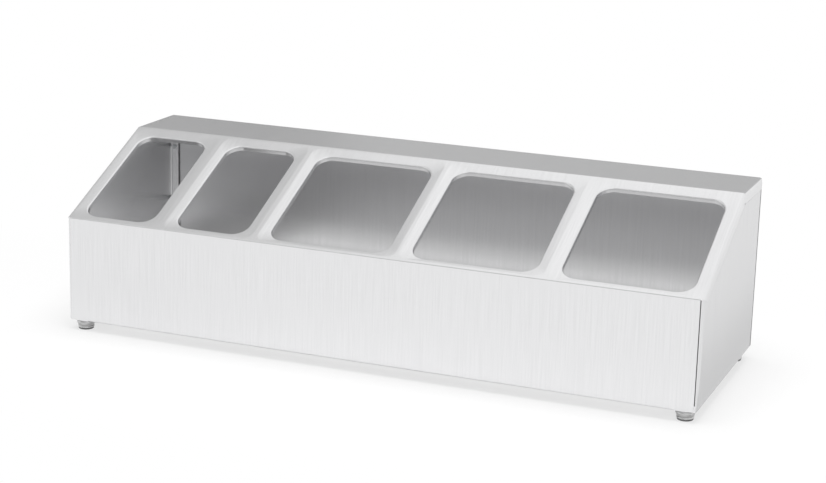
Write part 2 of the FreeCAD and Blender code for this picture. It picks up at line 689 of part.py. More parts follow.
def make_foot(name, across, along_y):
    """Pad, sole and stud of one foot."""
    pad_body = make_turned(f"foot_pad_{name}", pad_section, across, along_y)
    rims = [("pad_top_radius", PAD_TOP), ("pad_low_radius", "sole_thickness")]

    def on_pad_rim(edge):
        circle_edge = isinstance(edge.Curve, Part.Circle)
        return circle_edge and any(
            near(edge.Curve.Radius, radius) and near(edge.Curve.Center.z, up) for radius, up in rims
        )

    round_edges(pad_body, f"foot_pad_{name}_rims", "pad_round", on_pad_rim)
    make_turned(f"foot_sole_{name}", sole_section, across, along_y)
    stud = make_turned(f"foot_stud_{name}", stud_section, across, along_y)
    slot = new_sketch(stud, f"foot_stud_{name}_slot_outline", "XY_Plane", ("0", "0", stud_top))
    rectangle(slot, "-slot_width / 2", "slot_width / 2", "-2 * stud_radius", "2 * stud_radius")
    pocket(stud, f"foot_stud_{name}_slot", slot, "slot_depth")


def make_foot_plate(name, end, side, across, along_y):
    """The stiffening plate above one foot, with the corner that points into the case clipped."""
    body = new_body(f"foot_plate_{name}")
    outer_x = f"{side} * ({HALF} - bend_radius - foot_plate_edge)"
    inner_x = f"{side} * ({HALF} - bend_radius - foot_plate_edge - foot_plate_size)"
    clip_x = f"{side} * ({HALF} - bend_radius - foot_plate_edge - foot_plate_size + foot_plate_clip)"
    edge, inwards = (SIDE_FRONT, "+") if end == "front" else (SIDE_REAR, "-")
    outer_y = f"{edge} {inwards} (bend_radius + foot_plate_edge)"
    inner_y = f"{outer_y} {inwards} foot_plate_size"
    clip_y = f"{outer_y} {inwards} (foot_plate_size - foot_plate_clip)"
    outline = [
        (outer_x, outer_y),
        (outer_x, inner_y),
        (clip_x, inner_y),
        (inner_x, clip_y),
        (inner_x, outer_y),
    ]
    sketch = new_sketch(body, f"foot_plate_{name}_outline", "XY_Plane", ("0", "0", FLOOR_TOP))
    polygon(sketch, outline)
    circle(sketch, across, along_y, "stud_radius + socket_play")
    pad(body, f"foot_plate_{name}_pad", sketch, "foot_plate_gauge")


for name, side, across, along_y in foot_places():
    make_foot(name, across, along_y)
    make_foot_plate(name, name.split("_")[0], side, across, along_y)


# Fasteners: each kind is one node, a group of separate solids.


def solid(kind, name, **sizes):
    """A Part primitive with its sizes as formulas."""
    item = doc.addObject(f"Part::{kind}", name)
    for key, text in sizes.items():
        setattr(item, key, value(text))
        item.setExpression(key, formula(text))
    return item


def nut(name, corner_radius, height, bore):
    """A hexagon nut that stands on its place, with its bore upright."""
    prism = solid("Prism", f"{name}_hexagon", Circumradius=corner_radius, Height=height)
    prism.Polygon = 6
    hole = solid("Cylinder", f"{name}_bore", Radius=bore, Height=f"{height} + 2 * cut_overrun")
    place_at(hole, "0", "0", "-cut_overrun")
    cut = doc.addObject("Part::Cut", name)
    cut.Base, cut.Tool = prism, hole
    return cut


def group(label, members):
    """One node of several equal, separate pieces."""
    compound = doc.addObject("Part::Compound", label)
    compound.Label = label
    compound.Links = members
    return compound


weld_nuts = []
for name, side, across, along_y in foot_places():
    made = nut(f"weld_nut_{name}", "weld_nut_radius", "weld_nut_height", "stud_radius + thread_play")
    place_at(made, across, along_y, f"{FLOOR_TOP} + foot_plate_gauge")
    weld_nuts.append(made)
group("foot_weld_nuts", weld_nuts)

TOWARDS_FRONT = FreeCAD.Rotation(FreeCAD.Vector(1, 0, 0), 90)
screws, small_nuts = [], []
for word, side in SIDES:
    for number, height in enumerate(screw_heights(), 1):
        name = f"{word}{number}"
        across = f"{side} * ({HALF} - screw_inset)"
        shank = solid("Cylinder", f"screw_shank_{name}", Radius="screw_radius", Height="screw_length")
        head = solid("Cylinder", f"screw_head_{name}", Radius="screw_head_radius", Height="screw_head_height")
        place_at(head, "0", "0", "-screw_head_height")
        joined = doc.addObject("Part::Fuse", f"screw_joined_{name}")
        joined.Base, joined.Tool = shank, head
        doc.recompute()
        rounded = doc.addObject("Part::Fillet", f"screw_rounded_{name}")
        rounded.Base = joined
        rounded.Edges = [
            (count, value("screw_edge_round"), value("screw_edge_round"))
            for count, edge in enumerate(joined.Shape.Edges, 1)
            if isinstance(edge.Curve, Part.Circle) and near(edge.Curve.Center.z, "-screw_head_height")
        ]
        hexagon = solid(
            "Prism",
            f"screw_hexagon_{name}",
            Circumradius="screw_socket_radius",
            Height="screw_socket_depth + cut_overrun",
        )
        hexagon.Polygon = 6
        place_at(hexagon, "0", "0", "-(screw_head_height + cut_overrun)")
        screw = doc.addObject("Part::Cut", f"screw_{name}")
        screw.Base, screw.Tool = rounded, hexagon
        screw.Placement.Rotation = TOWARDS_FRONT
        place_at(screw, across, f"{SIDE_REAR} + sheet_gauge", height)
        screws.append(screw)
        made = nut(f"small_nut_{name}", "small_nut_radius", "small_nut_height", "screw_radius + thread_play")
        made.Placement.Rotation = TOWARDS_FRONT
        place_at(made, across, f"{SIDE_REAR} - sheet_gauge", height)
        small_nuts.append(made)
group("back_panel_screws", screws)
group("back_panel_nuts", small_nuts)


# Check and write

doc.recompute()
for item in doc.Objects:
    if "Invalid" in item.State or "Error" in item.State:
        raise RuntimeError(f"{item.Label} failed: {item.State}")
nodes = [item for item in doc.Objects if item.TypeId in ("PartDesign::Body", "Part::Compound")]
for item in nodes:
    shape = item.Shape
    if shape.isNull() or not shape.isValid() or not shape.Solids:
        raise RuntimeError(f"{item.Label} has no valid solid")

os.makedirs("parts", exist_ok=True)
for item in nodes:
    item.Shape.exportStep(f"parts/{item.Label}.step")
    box = item.Shape.BoundBox
    print(f"{item.Label}: {len(item.Shape.Solids)} solids, volume {item.Shape.Volume:.0f}, "
          f"x {box.XMin:.2f} to {box.XMax:.2f}, y {box.YMin:.2f} to {box.YMax:.2f}, "
          f"z {box.ZMin:.2f} to {box.ZMax:.2f}")
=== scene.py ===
# %% [markdown]
# A holder for gastronorm pans, in brushed stainless steel
#
# The real object is folded from thin stainless sheet: one long sheet makes the front, the sloped deck
# and the level ledge behind it, and three smaller sheets close the sides and the back. A frame with every
# piece at its real size is given. This lesson replaces the folded sheets and the turned feet by meshes
# with soft bends, and gives every piece its finish.

# %% The frame
import math

import bmesh
import bpy
from mathutils import Euler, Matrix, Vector


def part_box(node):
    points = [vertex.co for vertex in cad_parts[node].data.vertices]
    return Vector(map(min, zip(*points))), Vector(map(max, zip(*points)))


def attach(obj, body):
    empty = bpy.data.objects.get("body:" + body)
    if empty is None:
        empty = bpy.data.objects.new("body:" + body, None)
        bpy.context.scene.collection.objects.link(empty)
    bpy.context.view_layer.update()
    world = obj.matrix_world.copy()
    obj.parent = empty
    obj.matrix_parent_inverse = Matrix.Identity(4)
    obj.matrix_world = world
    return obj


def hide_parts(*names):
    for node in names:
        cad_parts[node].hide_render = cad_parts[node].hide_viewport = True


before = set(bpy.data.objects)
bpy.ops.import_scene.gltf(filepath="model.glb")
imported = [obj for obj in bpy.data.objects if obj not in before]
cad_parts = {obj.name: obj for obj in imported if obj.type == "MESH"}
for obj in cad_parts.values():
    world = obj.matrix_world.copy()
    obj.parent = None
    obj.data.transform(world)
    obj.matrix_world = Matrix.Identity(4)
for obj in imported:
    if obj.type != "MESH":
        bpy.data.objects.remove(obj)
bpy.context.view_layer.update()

# %% [markdown]
# The sizes. What can be read off the frame is read off it. The rest are the sheet maker's own numbers, in
# millimetres, because a folded part is drawn from its gauge, its bend radii and its flanges.

# %% Sizes of the case
MM = 0.001
deck_low, deck_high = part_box("deck_shell")
side_low, side_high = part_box("right_side_panel")
LEFT, RIGHT = deck_low.x, deck_high.x
FRONT, REAR = deck_low.y, deck_high.y
UNDER, TOP = deck_low.z, deck_high.z
GAUGE = 1 * MM  # thickness of the sheet
SLOPE = math.radians(25)  # tilt of the deck
KNEE = REAR - 87 * MM  # where the slope meets the level ledge
FOLD = TOP - (KNEE - FRONT) * math.tan(SLOPE)  # height of the fold above the front panel
UPHILL = Vector((0, math.cos(SLOPE), math.sin(SLOPE)))  # along the slope
SQUARE = Vector((0, -math.sin(SLOPE), math.cos(SLOPE)))  # square to the slope
BEND = 3 * MM  # outside radius of most bends
FOLD_BEND = 1.5 * MM  # the front fold is sharper
KNEE_BEND = 2.5 * MM  # width of the soft bend at the knee
FLANGE = 13 * MM  # the deck's side and rear flanges
PANEL_INSET = 3.8 * MM  # front panel's edge, in from the side sheet's face
RETURN = 25 * MM  # inward return along the front panel's lower edge
FIT_GAP = 0.2 * MM  # play between two sheets
print("fold at", round(FOLD / MM, 2), "mm, knee at", round(KNEE / MM, 2), "mm")

# %% Sizes of the mesh
BEND_STEPS = 6  # faces round a bend
SUPPORT = 0.4 * MM  # how far beside a bend a flat face is cut
SIDE_SUPPORT = 0.1 * MM  # the same beside the bends at the deck's ends, where the openings come close
CLOSE = 0.01 * MM  # two places nearer than this are the same
OVERRUN = 10 * MM  # how much longer a drill is than what it bores through
DRILL_DEPTH = 8 * MM  # length of a drill that bores one sheet
DRILL_SIDES = 48
print("bends of", BEND_STEPS, "faces, flats held", round(SUPPORT / MM, 1), "mm beside them")


# %% [markdown]
# Helpers. An operator works on whatever is selected, so each step first deselects everything and then picks
# faces, edges or points by their place. These few helpers keep the steps short.

# %% Helpers for objects
def deselect():
    """Leaves edit mode with nothing selected."""
    if bpy.context.mode != "OBJECT":
        bpy.ops.object.mode_set(mode="OBJECT")
    bpy.ops.object.select_all(action="DESELECT")


def activate(piece):
    """Selects one object alone."""
    deselect()
    piece.select_set(True)
    bpy.context.view_layer.objects.active = piece


def edit(piece):
    """Opens one object alone in edit mode."""
    activate(piece)
    bpy.ops.object.mode_set(mode="EDIT")


def settle(piece):
    """Writes an object's place, turn and scale into its mesh."""
    activate(piece)
    bpy.ops.object.transform_apply(location=True, rotation=True, scale=True)


def block(name, low, high):
    """A box between two corners, as the start of a piece."""
    low, high = Vector(low), Vector(high)
    deselect()
    bpy.ops.mesh.primitive_cube_add(size=1, location=(low + high) / 2, scale=high - low)
    piece = bpy.context.active_object
    piece.name = piece.data.name = name
    settle(piece)
    return piece


def weld(first, *others):
    """Joins other objects into the first."""
    activate(first)
    for other in others:
        other.select_set(True)
    bpy.ops.object.join()
    return first


def finish_with(piece, kind, **settings):
    """Adds a modifier and applies it."""
    activate(piece)
    modifier = piece.modifiers.new(kind.title(), kind)
    for name, value in settings.items():
        setattr(modifier, name, value)
    bpy.ops.object.modifier_apply(modifier=modifier.name)


def thicken(piece):
    """Gives a skin the sheet's thickness, on the inner side of each face."""
    finish_with(piece, "SOLIDIFY", thickness=GAUGE, offset=-1, use_even_offset=True)


def smooth(piece, degrees=35):
    """Smooth shading, except where faces meet at more than an angle."""
    activate(piece)
    bpy.ops.object.shade_smooth_by_angle(angle=math.radians(degrees))


def drill(piece, places, radius, depth, turn=(0, 0, 0)):
    """Bores round holes through a piece at several places."""
    bits = []
    for place in places:
        deselect()
        bpy.ops.mesh.primitive_cylinder_add(
            vertices=DRILL_SIDES, radius=radius, depth=depth, location=place, rotation=turn
        )
        bits.append(bpy.context.active_object)
    bit = weld(*bits)
    finish_with(piece, "BOOLEAN", object=bit, operation="DIFFERENCE", solver="EXACT")
    bpy.data.objects.remove(bit)


def count(piece):
    """The size of a finished mesh, for the log."""
    triangles = sum(len(face.vertices) - 2 for face in piece.data.polygons)
    print(f"{piece.name}: {len(piece.data.vertices)} points, {triangles} triangles")


# %% Helpers that find a place
def middle(part):
    """The middle of an edge or a face."""
    return sum((point.co for point in part.verts), Vector()) / len(part.verts)


def at(part, **places):
    """Whether every point of an edge or a face lies at the given coordinates."""
    return all(
        abs(getattr(point.co, axis) - place) < CLOSE
        for point in part.verts
        for axis, place in places.items()
    )


def drop_below_deck(point):
    """How far a point lies below the deck's slope."""
    return (Vector((0, FRONT, FOLD)) - point).dot(SQUARE)


def on_slope(part, drop=0.0):
    """Whether every point lies a given depth below the slope's plane."""
    return all(abs(drop_below_deck(point.co) - drop) < CLOSE for point in part.verts)


# %% Helpers for edit mode
def pick_all():
    """Selects the whole mesh that is open in edit mode."""
    bpy.ops.mesh.select_all(action="SELECT")


def pick(piece, kind, test):
    """Selects only the points, edges or faces that pass a test, and counts them."""
    bpy.ops.mesh.select_mode(type=kind)
    bpy.ops.mesh.select_all(action="DESELECT")
    mesh = bmesh.from_edit_mesh(piece.data)
    parts = {"VERT": mesh.verts, "EDGE": mesh.edges, "FACE": mesh.faces}[kind]
    chosen = [part for part in parts if test(part)]
    for part in chosen:
        part.select_set(True)
    mesh.select_flush_mode()
    bmesh.update_edit_mesh(piece.data)
    return len(chosen)


def pull(piece, test, shift):
    """Extrudes the edges that pass a test by a shift, and counts them."""
    number = pick(piece, "EDGE", test)
    bpy.ops.mesh.extrude_edges_move(TRANSFORM_OT_translate={"value": shift})
    return number


def shift_points(piece, test, shift):
    """Moves the points that pass a test."""
    pick(piece, "VERT", test)
    bpy.ops.transform.translate(value=shift)


def cut(piece, point, normal, test=lambda face: True, **clear):
    """Cuts the faces that pass a test by a plane."""
    pick(piece, "FACE", test)
    bpy.ops.mesh.bisect(plane_co=point, plane_no=normal, threshold=CLOSE / 100, **clear)


def bend_edges(piece, test, width, steps=BEND_STEPS):
    """Rounds the edges that pass a test, from a width on both sides."""
    number = pick(piece, "EDGE", test)
    bpy.ops.mesh.bevel(offset=width, segments=steps, affect="EDGES", clamp_overlap=False)
    return number


def round_corners(radius, steps):
    """Rounds the selected corners of an outline."""
    bpy.ops.mesh.bevel(offset=radius, segments=steps, affect="VERTICES", clamp_overlap=False)


def drop_faces(piece, test, kind="FACE"):
    """Deletes the faces that pass a test."""
    number = pick(piece, "FACE", test)
    bpy.ops.mesh.delete(type=kind)
    return number


def merge_close(reach=CLOSE):
    """Merges points that lie on each other, and turns all faces one way."""
    pick_all()
    bpy.ops.mesh.remove_doubles(threshold=reach)
    pick_all()
    bpy.ops.mesh.normals_make_consistent(inside=False)


# %% [markdown]
# The deck, first part: the folded outline. It starts as the level ledge, a plane. The slope is pulled out
# of its front edge and the flanges out of the other edges, as a sheet-metal worker folds them down. Only the
# outer skin is made here: the sheet's thickness comes last, from Solidify, so that each bend keeps an inside
# radius one gauge smaller than its outside radius.

# %% The ledge, the slope and the flanges
deselect()
bpy.ops.mesh.primitive_plane_add(size=1, location=(0, (KNEE + REAR) / 2, TOP))
deck = bpy.context.active_object
deck.name = deck.data.name = "deck_sheet"
deck.scale = (RIGHT - LEFT, REAR - KNEE, 1)
settle(deck)

edit(deck)
pull(deck, lambda edge: at(edge, y=KNEE), (0, FRONT - KNEE, FOLD - TOP))
pull(deck, lambda edge: at(edge, y=REAR), (0, 0, -FLANGE))
for side in (LEFT, RIGHT):
    pull(deck, lambda edge: at(edge, x=side) and not at(edge, y=REAR), (0, 0, -FLANGE))


def is_front_flange_foot(point):
    """The side flange's lower corner at the fold."""
    return abs(point.co.y - FRONT) < CLOSE and abs(point.co.z - FOLD + FLANGE) < CLOSE


def is_knee_flange_foot(point):
    """The side flange's lower corner at the knee."""
    return abs(point.co.y - KNEE) < CLOSE and abs(point.co.z - TOP + FLANGE) < CLOSE


shift_points(deck, is_front_flange_foot, (0, 0, FLANGE - FLANGE / math.cos(SLOPE)))
shift_points(deck, is_knee_flange_foot, (0, FLANGE * math.tan(SLOPE / 2), 0))
pick_all()
bpy.ops.mesh.remove_doubles(threshold=CLOSE)


def is_deck_bend(edge):
    """The side edges, the rear edge and the two rear corners."""
    at_side = at(edge, x=LEFT) or at(edge, x=RIGHT)
    return at_side and (on_slope(edge) or at(edge, z=TOP) or at(edge, y=REAR)) or at(edge, y=REAR, z=TOP)


print("bent edges", bend_edges(deck, is_deck_bend, BEND))

# %% [markdown]
# Flat sheet must stay flat right up to a bend, or its shading bulges. A cut close beside each bend holds it.
# A subdivided mesh would also do, but it would add faces all over the flat parts.
# At the knee, two cuts are all that it takes: between them, smooth shading makes the soft bend.

# %% Cuts beside the bends
FOLD_REACH = FOLD_BEND * math.tan((math.pi / 2 - SLOPE) / 2)
KNEE_REACH = KNEE_BEND * math.tan(SLOPE / 2)
fold_line = Vector((0, FRONT, FOLD)) + UPHILL * FOLD_REACH
knee_start = Vector((0, KNEE, TOP)) - UPHILL * (KNEE_REACH + SUPPORT)
flange_line = Vector((0, FRONT, FOLD)) - SQUARE * (BEND + SUPPORT)


def is_sloped(face):
    """What lies in front of the knee."""
    return middle(face).y < KNEE


def is_sloped_flange(face):
    """The side flange along the slope, below its bend."""
    return is_sloped(face) and drop_below_deck(middle(face)) > BEND


for side in (-1, 1):
    cut(deck, (side * (RIGHT - BEND - SIDE_SUPPORT), 0, 0), (1, 0, 0))
cut(deck, (0, REAR - BEND - SUPPORT, 0), (0, 1, 0))
cut(deck, (0, 0, TOP - BEND - SUPPORT), (0, 0, 1), lambda face: not is_sloped(face))
cut(deck, (0, KNEE + KNEE_REACH + SUPPORT, 0), (0, 1, 0), lambda face: middle(face).y > KNEE + KNEE_REACH)
cut(deck, knee_start, UPHILL, is_sloped)
cut(deck, fold_line, UPHILL, is_sloped)
cut(deck, fold_line + UPHILL * SUPPORT, UPHILL, is_sloped)
cut(deck, flange_line, SQUARE, is_sloped_flange)
print("fold starts", round(FOLD_REACH / MM, 2), "mm up the slope")

# %% [markdown]
# The front panel is one sheet with the deck, so the fold is made as a press brake makes it: the slope's
# edge is spun about the bend's own centre, down to the upright. A bevel could round it too, but the panel is
# narrower than the deck, so it has to start from its own edge. The strip of deck that the fold takes the place
# of is deleted first.

# %% The fold
panel_half = RIGHT - PANEL_INSET
return_half = RIGHT - RETURN - FIT_GAP


def before_fold(face):
    """The slope's flat in front of the fold line."""
    return on_slope(face) and (middle(face) - fold_line).dot(UPHILL) < 0


def at_fold_line(edge):
    """The edge from which the fold is spun."""
    across = all(abs((point.co - fold_line).dot(UPHILL)) < CLOSE for point in edge.verts)
    return across and on_slope(edge) and abs(middle(edge).x) < panel_half


for side in (-1, 1):
    cut(deck, (side * panel_half, 0, 0), (1, 0, 0), before_fold)
print("front strip", drop_faces(deck, lambda face: before_fold(face) and abs(middle(face).x) < panel_half))
print("fold edges", pick(deck, "EDGE", at_fold_line))
fold_centre = fold_line - SQUARE * FOLD_BEND
bpy.ops.mesh.spin(steps=BEND_STEPS, angle=SLOPE - math.pi / 2, center=fold_centre, axis=(1, 0, 0))

# %% [markdown]
# From the fold the panel is pulled straight down, with a short step beside each bend that keeps it flat.
# A second spin turns its lower edge inwards, for the return that stiffens it. The return is shorter than the
# panel, because the side sheets' bottom flanges lie beside it, so the panel's edge is cut there first.

# %% The front panel and its return
fold_foot = fold_centre.z
heel = UNDER + FOLD_BEND


def at_heel(edge):
    """The panel's lower edge, where the return's bend starts."""
    return at(edge, y=FRONT, z=heel)


for side in (-1, 1):
    cut(deck, (side * return_half, 0, 0), (1, 0, 0), lambda face: middle(face).y < fold_line.y)
for height, drop in [
    (fold_foot, SUPPORT),
    (fold_foot - SUPPORT, fold_foot - heel - 2 * SUPPORT),
    (heel + SUPPORT, SUPPORT),
]:
    pull(deck, lambda edge: at(edge, y=FRONT, z=height), (0, 0, -drop))
pull(deck, lambda edge: at_heel(edge) and abs(middle(edge).x) > return_half, (0, 0, UNDER - heel))
pick(deck, "EDGE", lambda edge: at_heel(edge) and abs(middle(edge).x) < return_half)
bpy.ops.mesh.spin(steps=BEND_STEPS, angle=-math.pi / 2, center=(0, FRONT + FOLD_BEND, heel), axis=(1, 0, 0))
pull(deck, lambda edge: at(edge, y=FRONT + FOLD_BEND, z=UNDER), (0, RETURN - FOLD_BEND, 0))
print("front panel", round(2 * panel_half / MM, 1), "mm wide, return", round(2 * return_half / MM, 1), "mm")

# %% [markdown]
# The panel's lower corners are cut round, so that no sharp corner stands out over the counter. The two cut
# lines that end there are dissolved first, because a corner can only be rounded where nothing else meets it.

# %% The lower corners of the front panel
CORNER = 7 * MM
CORNER_STEPS = 8


def is_panel_corner(point):
    """The panel's lower corners, left and right."""
    low_front = abs(point.co.z - UNDER) < CLOSE and abs(point.co.y - FRONT) < CLOSE
    return low_front and abs(abs(point.co.x) - panel_half) < CLOSE


for height in (heel, heel + SUPPORT):
    pick(deck, "EDGE", lambda edge: at(edge, y=FRONT, z=height) and abs(middle(edge).x) > return_half)
    bpy.ops.mesh.dissolve_edges(use_verts=True)
print("lower corners", pick(deck, "VERT", is_panel_corner))
round_corners(CORNER, CORNER_STEPS)

# %% [markdown]
# At the front, each side flange is cut off along a diagonal, so that it clears the front panel when both are
# folded down. One cut by a plane makes it, and takes away what lies in front of it. A Boolean with a wedge
# would do as well, but it needs a second object and could leave slivers.

# %% The relief cuts of the side flanges
RELIEF_RUN = 16 * MM  # length of the diagonal, from front to back
RELIEF_DROP = 0.6 * MM  # where it starts, below the fold
relief_top = Vector((0, FRONT, FOLD - RELIEF_DROP))
relief_low = Vector((0, FRONT + RELIEF_RUN, FOLD + RELIEF_RUN * math.tan(SLOPE) - FLANGE / math.cos(SLOPE)))
relief_run = (relief_low - relief_top).normalized()
relief_normal = Vector((0, relief_run.z, -relief_run.y))
cut(deck, relief_top, relief_normal, lambda face: abs(middle(face).x) > panel_half, clear_outer=True)
print("relief cut ends", round(relief_low.z / MM, 1), "mm high")

# %% [markdown]
# The five openings. On the real deck a press draws the steel down round each hole, as a seat for a pan's rim,
# and turns the hole's edge into a collar. So each opening is a stack of rounded rectangles, from the flat deck
# over the drawn surround and the rolled bead to the lower edge of the collar. They are laid out flat, bridged
# one to the next, and then tilted onto the slope together.

# %% Sizes of the openings
NARROW, WIDE = 88 * MM, 142 * MM  # cut-outs for one-ninth and one-sixth pans
NARROW_BAR, WIDE_BAR = 28 * MM, 26 * MM  # deck left between two openings
OPENING_DEPTH = 156 * MM  # up the slope
SETBACK = 9.3 * MM  # fold to the openings' lower edge
OPENING_RADIUS = 18 * MM
DISH_SIDE = 11.5 * MM  # width of the drawn surround, at the sides and above
DISH_FOOT = 6.3 * MM  # its width below
DISH_RADIUS = 10 * MM
DISH_DROP = 1.2 * MM  # how deep it is drawn
BEAD = 1.8 * MM  # rounding where the surround turns into the collar
COLLAR = 7 * MM  # the collar's lower edge, below the deck
RIDGE = 0.2 * MM  # flat land held round the surround
RING_STEPS = 9  # faces round an opening's corner
BEAD_STEPS = 6
# The surround falls slowly at first, then evenly: (share of the way in, share of the drop).
ridge_shares = [(0.0, 0.0), (0.06, 0.02), (0.16, 0.11), (0.55, 0.51), (1.0, 1.0)]
low_edge, high_edge = SETBACK, SETBACK + OPENING_DEPTH
widths = [NARROW, NARROW, WIDE, WIDE, WIDE]
bars = [NARROW_BAR, NARROW_BAR, WIDE_BAR, WIDE_BAR]
print("openings and bars", round((sum(widths) + sum(bars)) / MM), "mm long")

# %% [markdown]
# A ring of an opening is a plane whose four corners are rounded and whose face is taken away again, so that
# only its edges stay. All rings have the same number of points. That lets the bridge operator join each one to
# the next by a clean band of faces, which gives the drawn steel its even highlights.


# %% Rings of an opening
def ring(left, right, low, high, radius, height):
    """Adds a rounded rectangle of edges to the mesh that is open in edit mode."""
    bpy.ops.mesh.primitive_plane_add(size=1)
    bpy.ops.transform.resize(value=(right - left, high - low, 1))
    bpy.ops.transform.translate(value=((left + right) / 2, (low + high) / 2, height))
    round_corners(radius, RING_STEPS)
    bpy.ops.mesh.delete(type="ONLY_FACE")


def surround_ring(left, right, share, drop):
    """A ring of the drawn surround: its share of the way from the flat deck to the bead."""
    side = DISH_SIDE + (BEAD - DISH_SIDE) * share
    foot = DISH_FOOT + (BEAD - DISH_FOOT) * share
    radius = DISH_RADIUS + (OPENING_RADIUS + BEAD - DISH_RADIUS) * share
    ring(left - side, right + side, low_edge - foot, high_edge + side, radius, -drop)


def even_ring(left, right, out, drop):
    """A ring at the same distance out from the opening all round."""
    ring(left - out, right + out, low_edge - out, high_edge + out, OPENING_RADIUS + out, -drop)


def bridge_rings(piece, rings):
    """Joins each ring to the next by a band of faces."""
    size = len(bmesh.from_edit_mesh(piece.data).verts) // rings
    for number in range(rings - 1):
        first, last = number * size, (number + 2) * size

        def waits_for_a_face(edge):
            """A bare edge of these two rings, or the open edge of the first."""
            spots = [point.index for point in edge.verts]
            bare = edge.is_wire and all(first <= spot < last for spot in spots)
            return bare or edge.is_boundary and all(first <= spot < first + size for spot in spots)

        pick(piece, "EDGE", waits_for_a_face)
        bpy.ops.mesh.bridge_edge_loops()


# %% One opening
def make_opening(left, width):
    """One opening's surround, bead and collar, tilted onto the slope."""
    right = left + width
    deselect()
    bpy.ops.mesh.primitive_plane_add(size=1)
    piece = bpy.context.active_object
    bpy.ops.object.mode_set(mode="EDIT")
    bpy.ops.mesh.delete(type="VERT")
    side, foot = DISH_SIDE + RIDGE, DISH_FOOT + RIDGE
    ring(left - side, right + side, low_edge - foot, high_edge + side, DISH_RADIUS + RIDGE, 0)
    for share, fall in ridge_shares:
        surround_ring(left, right, share, DISH_DROP * fall)
    for step in range(1, BEAD_STEPS + 1):
        turn = math.pi / 2 * step / BEAD_STEPS
        even_ring(left, right, BEAD * (1 - math.sin(turn)), DISH_DROP + BEAD * (1 - math.cos(turn)))
    even_ring(left, right, 0, DISH_DROP + BEAD + SUPPORT)
    even_ring(left, right, 0, COLLAR)

    rings = 1 + len(ridge_shares) + BEAD_STEPS + 2  # of the flat, the surround, the bead and the collar
    bridge_rings(piece, rings)
    bpy.ops.object.mode_set(mode="OBJECT")
    piece.rotation_euler = Euler((SLOPE, 0, 0))
    piece.location = (0, FRONT, FOLD)
    settle(piece)
    return piece


# %% The five openings along the deck
place = -(sum(widths) + sum(bars)) / 2
openings = []
for width, bar in zip(widths, [*bars, 0]):
    openings.append(make_opening(place, width))
    print("opening from", round(place / MM, 1), "mm")
    place += width + bar

# %% [markdown]
# The openings are set into the slope as patches. The slope's flat is deleted, the openings are joined in, and
# the flat is filled again between its outer edge and their outermost rings. A Boolean for each opening would
# cut the holes too, but it would leave the drawn surround without clean loops.

# %% The openings set into the slope
flat_half = RIGHT - BEND - SIDE_SUPPORT + CLOSE
flat_start = fold_line + UPHILL * SUPPORT


def is_land(face):
    """The flat of the slope, inside the cuts beside its bends."""
    inside = (middle(face) - flat_start).dot(UPHILL) > 0 and (middle(face) - knee_start).dot(UPHILL) < 0
    return on_slope(face) and inside and abs(middle(face).x) < flat_half


def is_land_edge(edge):
    """The open edges round the flat of the slope, and round the openings in it."""
    inside = abs(middle(edge).x) < flat_half and (middle(edge) - flat_start).dot(UPHILL) > -CLOSE
    return on_slope(edge) and len(edge.link_faces) < 2 and inside


edit(deck)
print("flat faces", drop_faces(deck, is_land, "ONLY_FACE"))
weld(deck, *openings)
edit(deck)
print("edges round the flat of the deck", pick(deck, "EDGE", is_land_edge))
bpy.ops.mesh.fill(use_beauty=True)

# %% [markdown]
# The skin becomes sheet metal. Its faces are turned outwards first, because Solidify lays the thickness on
# the inner side of each face. The ledge tells which way is out: it has to look up. A relief hole at each knee
# is drilled through the finished flanges, where the real sheet would otherwise tear as it is bent.

# %% The deck's thickness
RELIEF_HOLE = 1.5 * MM
merge_close()
mesh = bmesh.from_edit_mesh(deck.data)
mesh.normal_update()
if sum(face.normal.z * face.calc_area() for face in mesh.faces if at(face, z=TOP)) < 0:
    bpy.ops.mesh.flip_normals()
thicken(deck)
knee_corner = (0, KNEE + FLANGE * math.tan(SLOPE / 2), TOP - FLANGE)
drill(deck, [knee_corner], RELIEF_HOLE, RIGHT - LEFT + OVERRUN, (0, math.pi / 2, 0))
smooth(deck)
count(deck)

# %% [markdown]
# The side sheets. Each is one sheet too: a face, three flanges bent inwards, and a lip that is stepped in
# behind the deck's side flange. The face and its flanges start as a box cut by the line of the seam. Its
# inner face and its top are taken away, and its edges are bent. The flanges could also be pulled out of the
# face one by one, but the box gives all three at once, with closed corners to bend.

# %% Sizes of a side sheet
SIDE_FRONT, SIDE_REAR = side_low.y, side_high.y
SIDE_BOTTOM = side_low.x  # inner edge of the bottom flange
SEAM_GAP = 0.12 * MM  # the dark line between the deck's flange and the side sheet
SEAM = FLANGE + SEAM_GAP
UPRIGHT_FLANGE = 12 * MM
FLANGE_LIFT = 1.2 * MM  # the rear flange's free end stands off the back sheet
LIP_STEP = 1.2 * MM  # how far the lip is stepped in
LIP_HEIGHT = 9 * MM
STUD_HOLE = 3.25 * MM  # radius of a foot's hole
SCREW_HOLE = 1.7 * MM  # radius of a screw's hole
SCREW_INSET = 6 * MM  # screws, in from the side sheet's face
SCREW_SHARES = (0.14, 0.5, 0.86)  # their heights, as shares of the rear flange
seam_top = relief_top - Vector((0, 0, SEAM - FLANGE))
seam_low = relief_low - Vector((0, 0, (SEAM - FLANGE) / math.cos(SLOPE)))
seam_run = seam_low - seam_top
slope_seam = Vector((0, FRONT, FOLD)) - SQUARE * SEAM
print("seam from", round(seam_top.z / MM, 1), "to", round(seam_low.z / MM, 1), "mm high")


# %% The right side sheet
def is_front_part(face):
    """The part in front of the diagonal seam's lower end."""
    return middle(face).y < seam_low.y


def is_side_bend(edge):
    """The face's front, rear and lower edges."""
    return at(edge, x=RIGHT) and (at(edge, y=SIDE_FRONT) or at(edge, y=SIDE_REAR) or at(edge, z=UNDER))


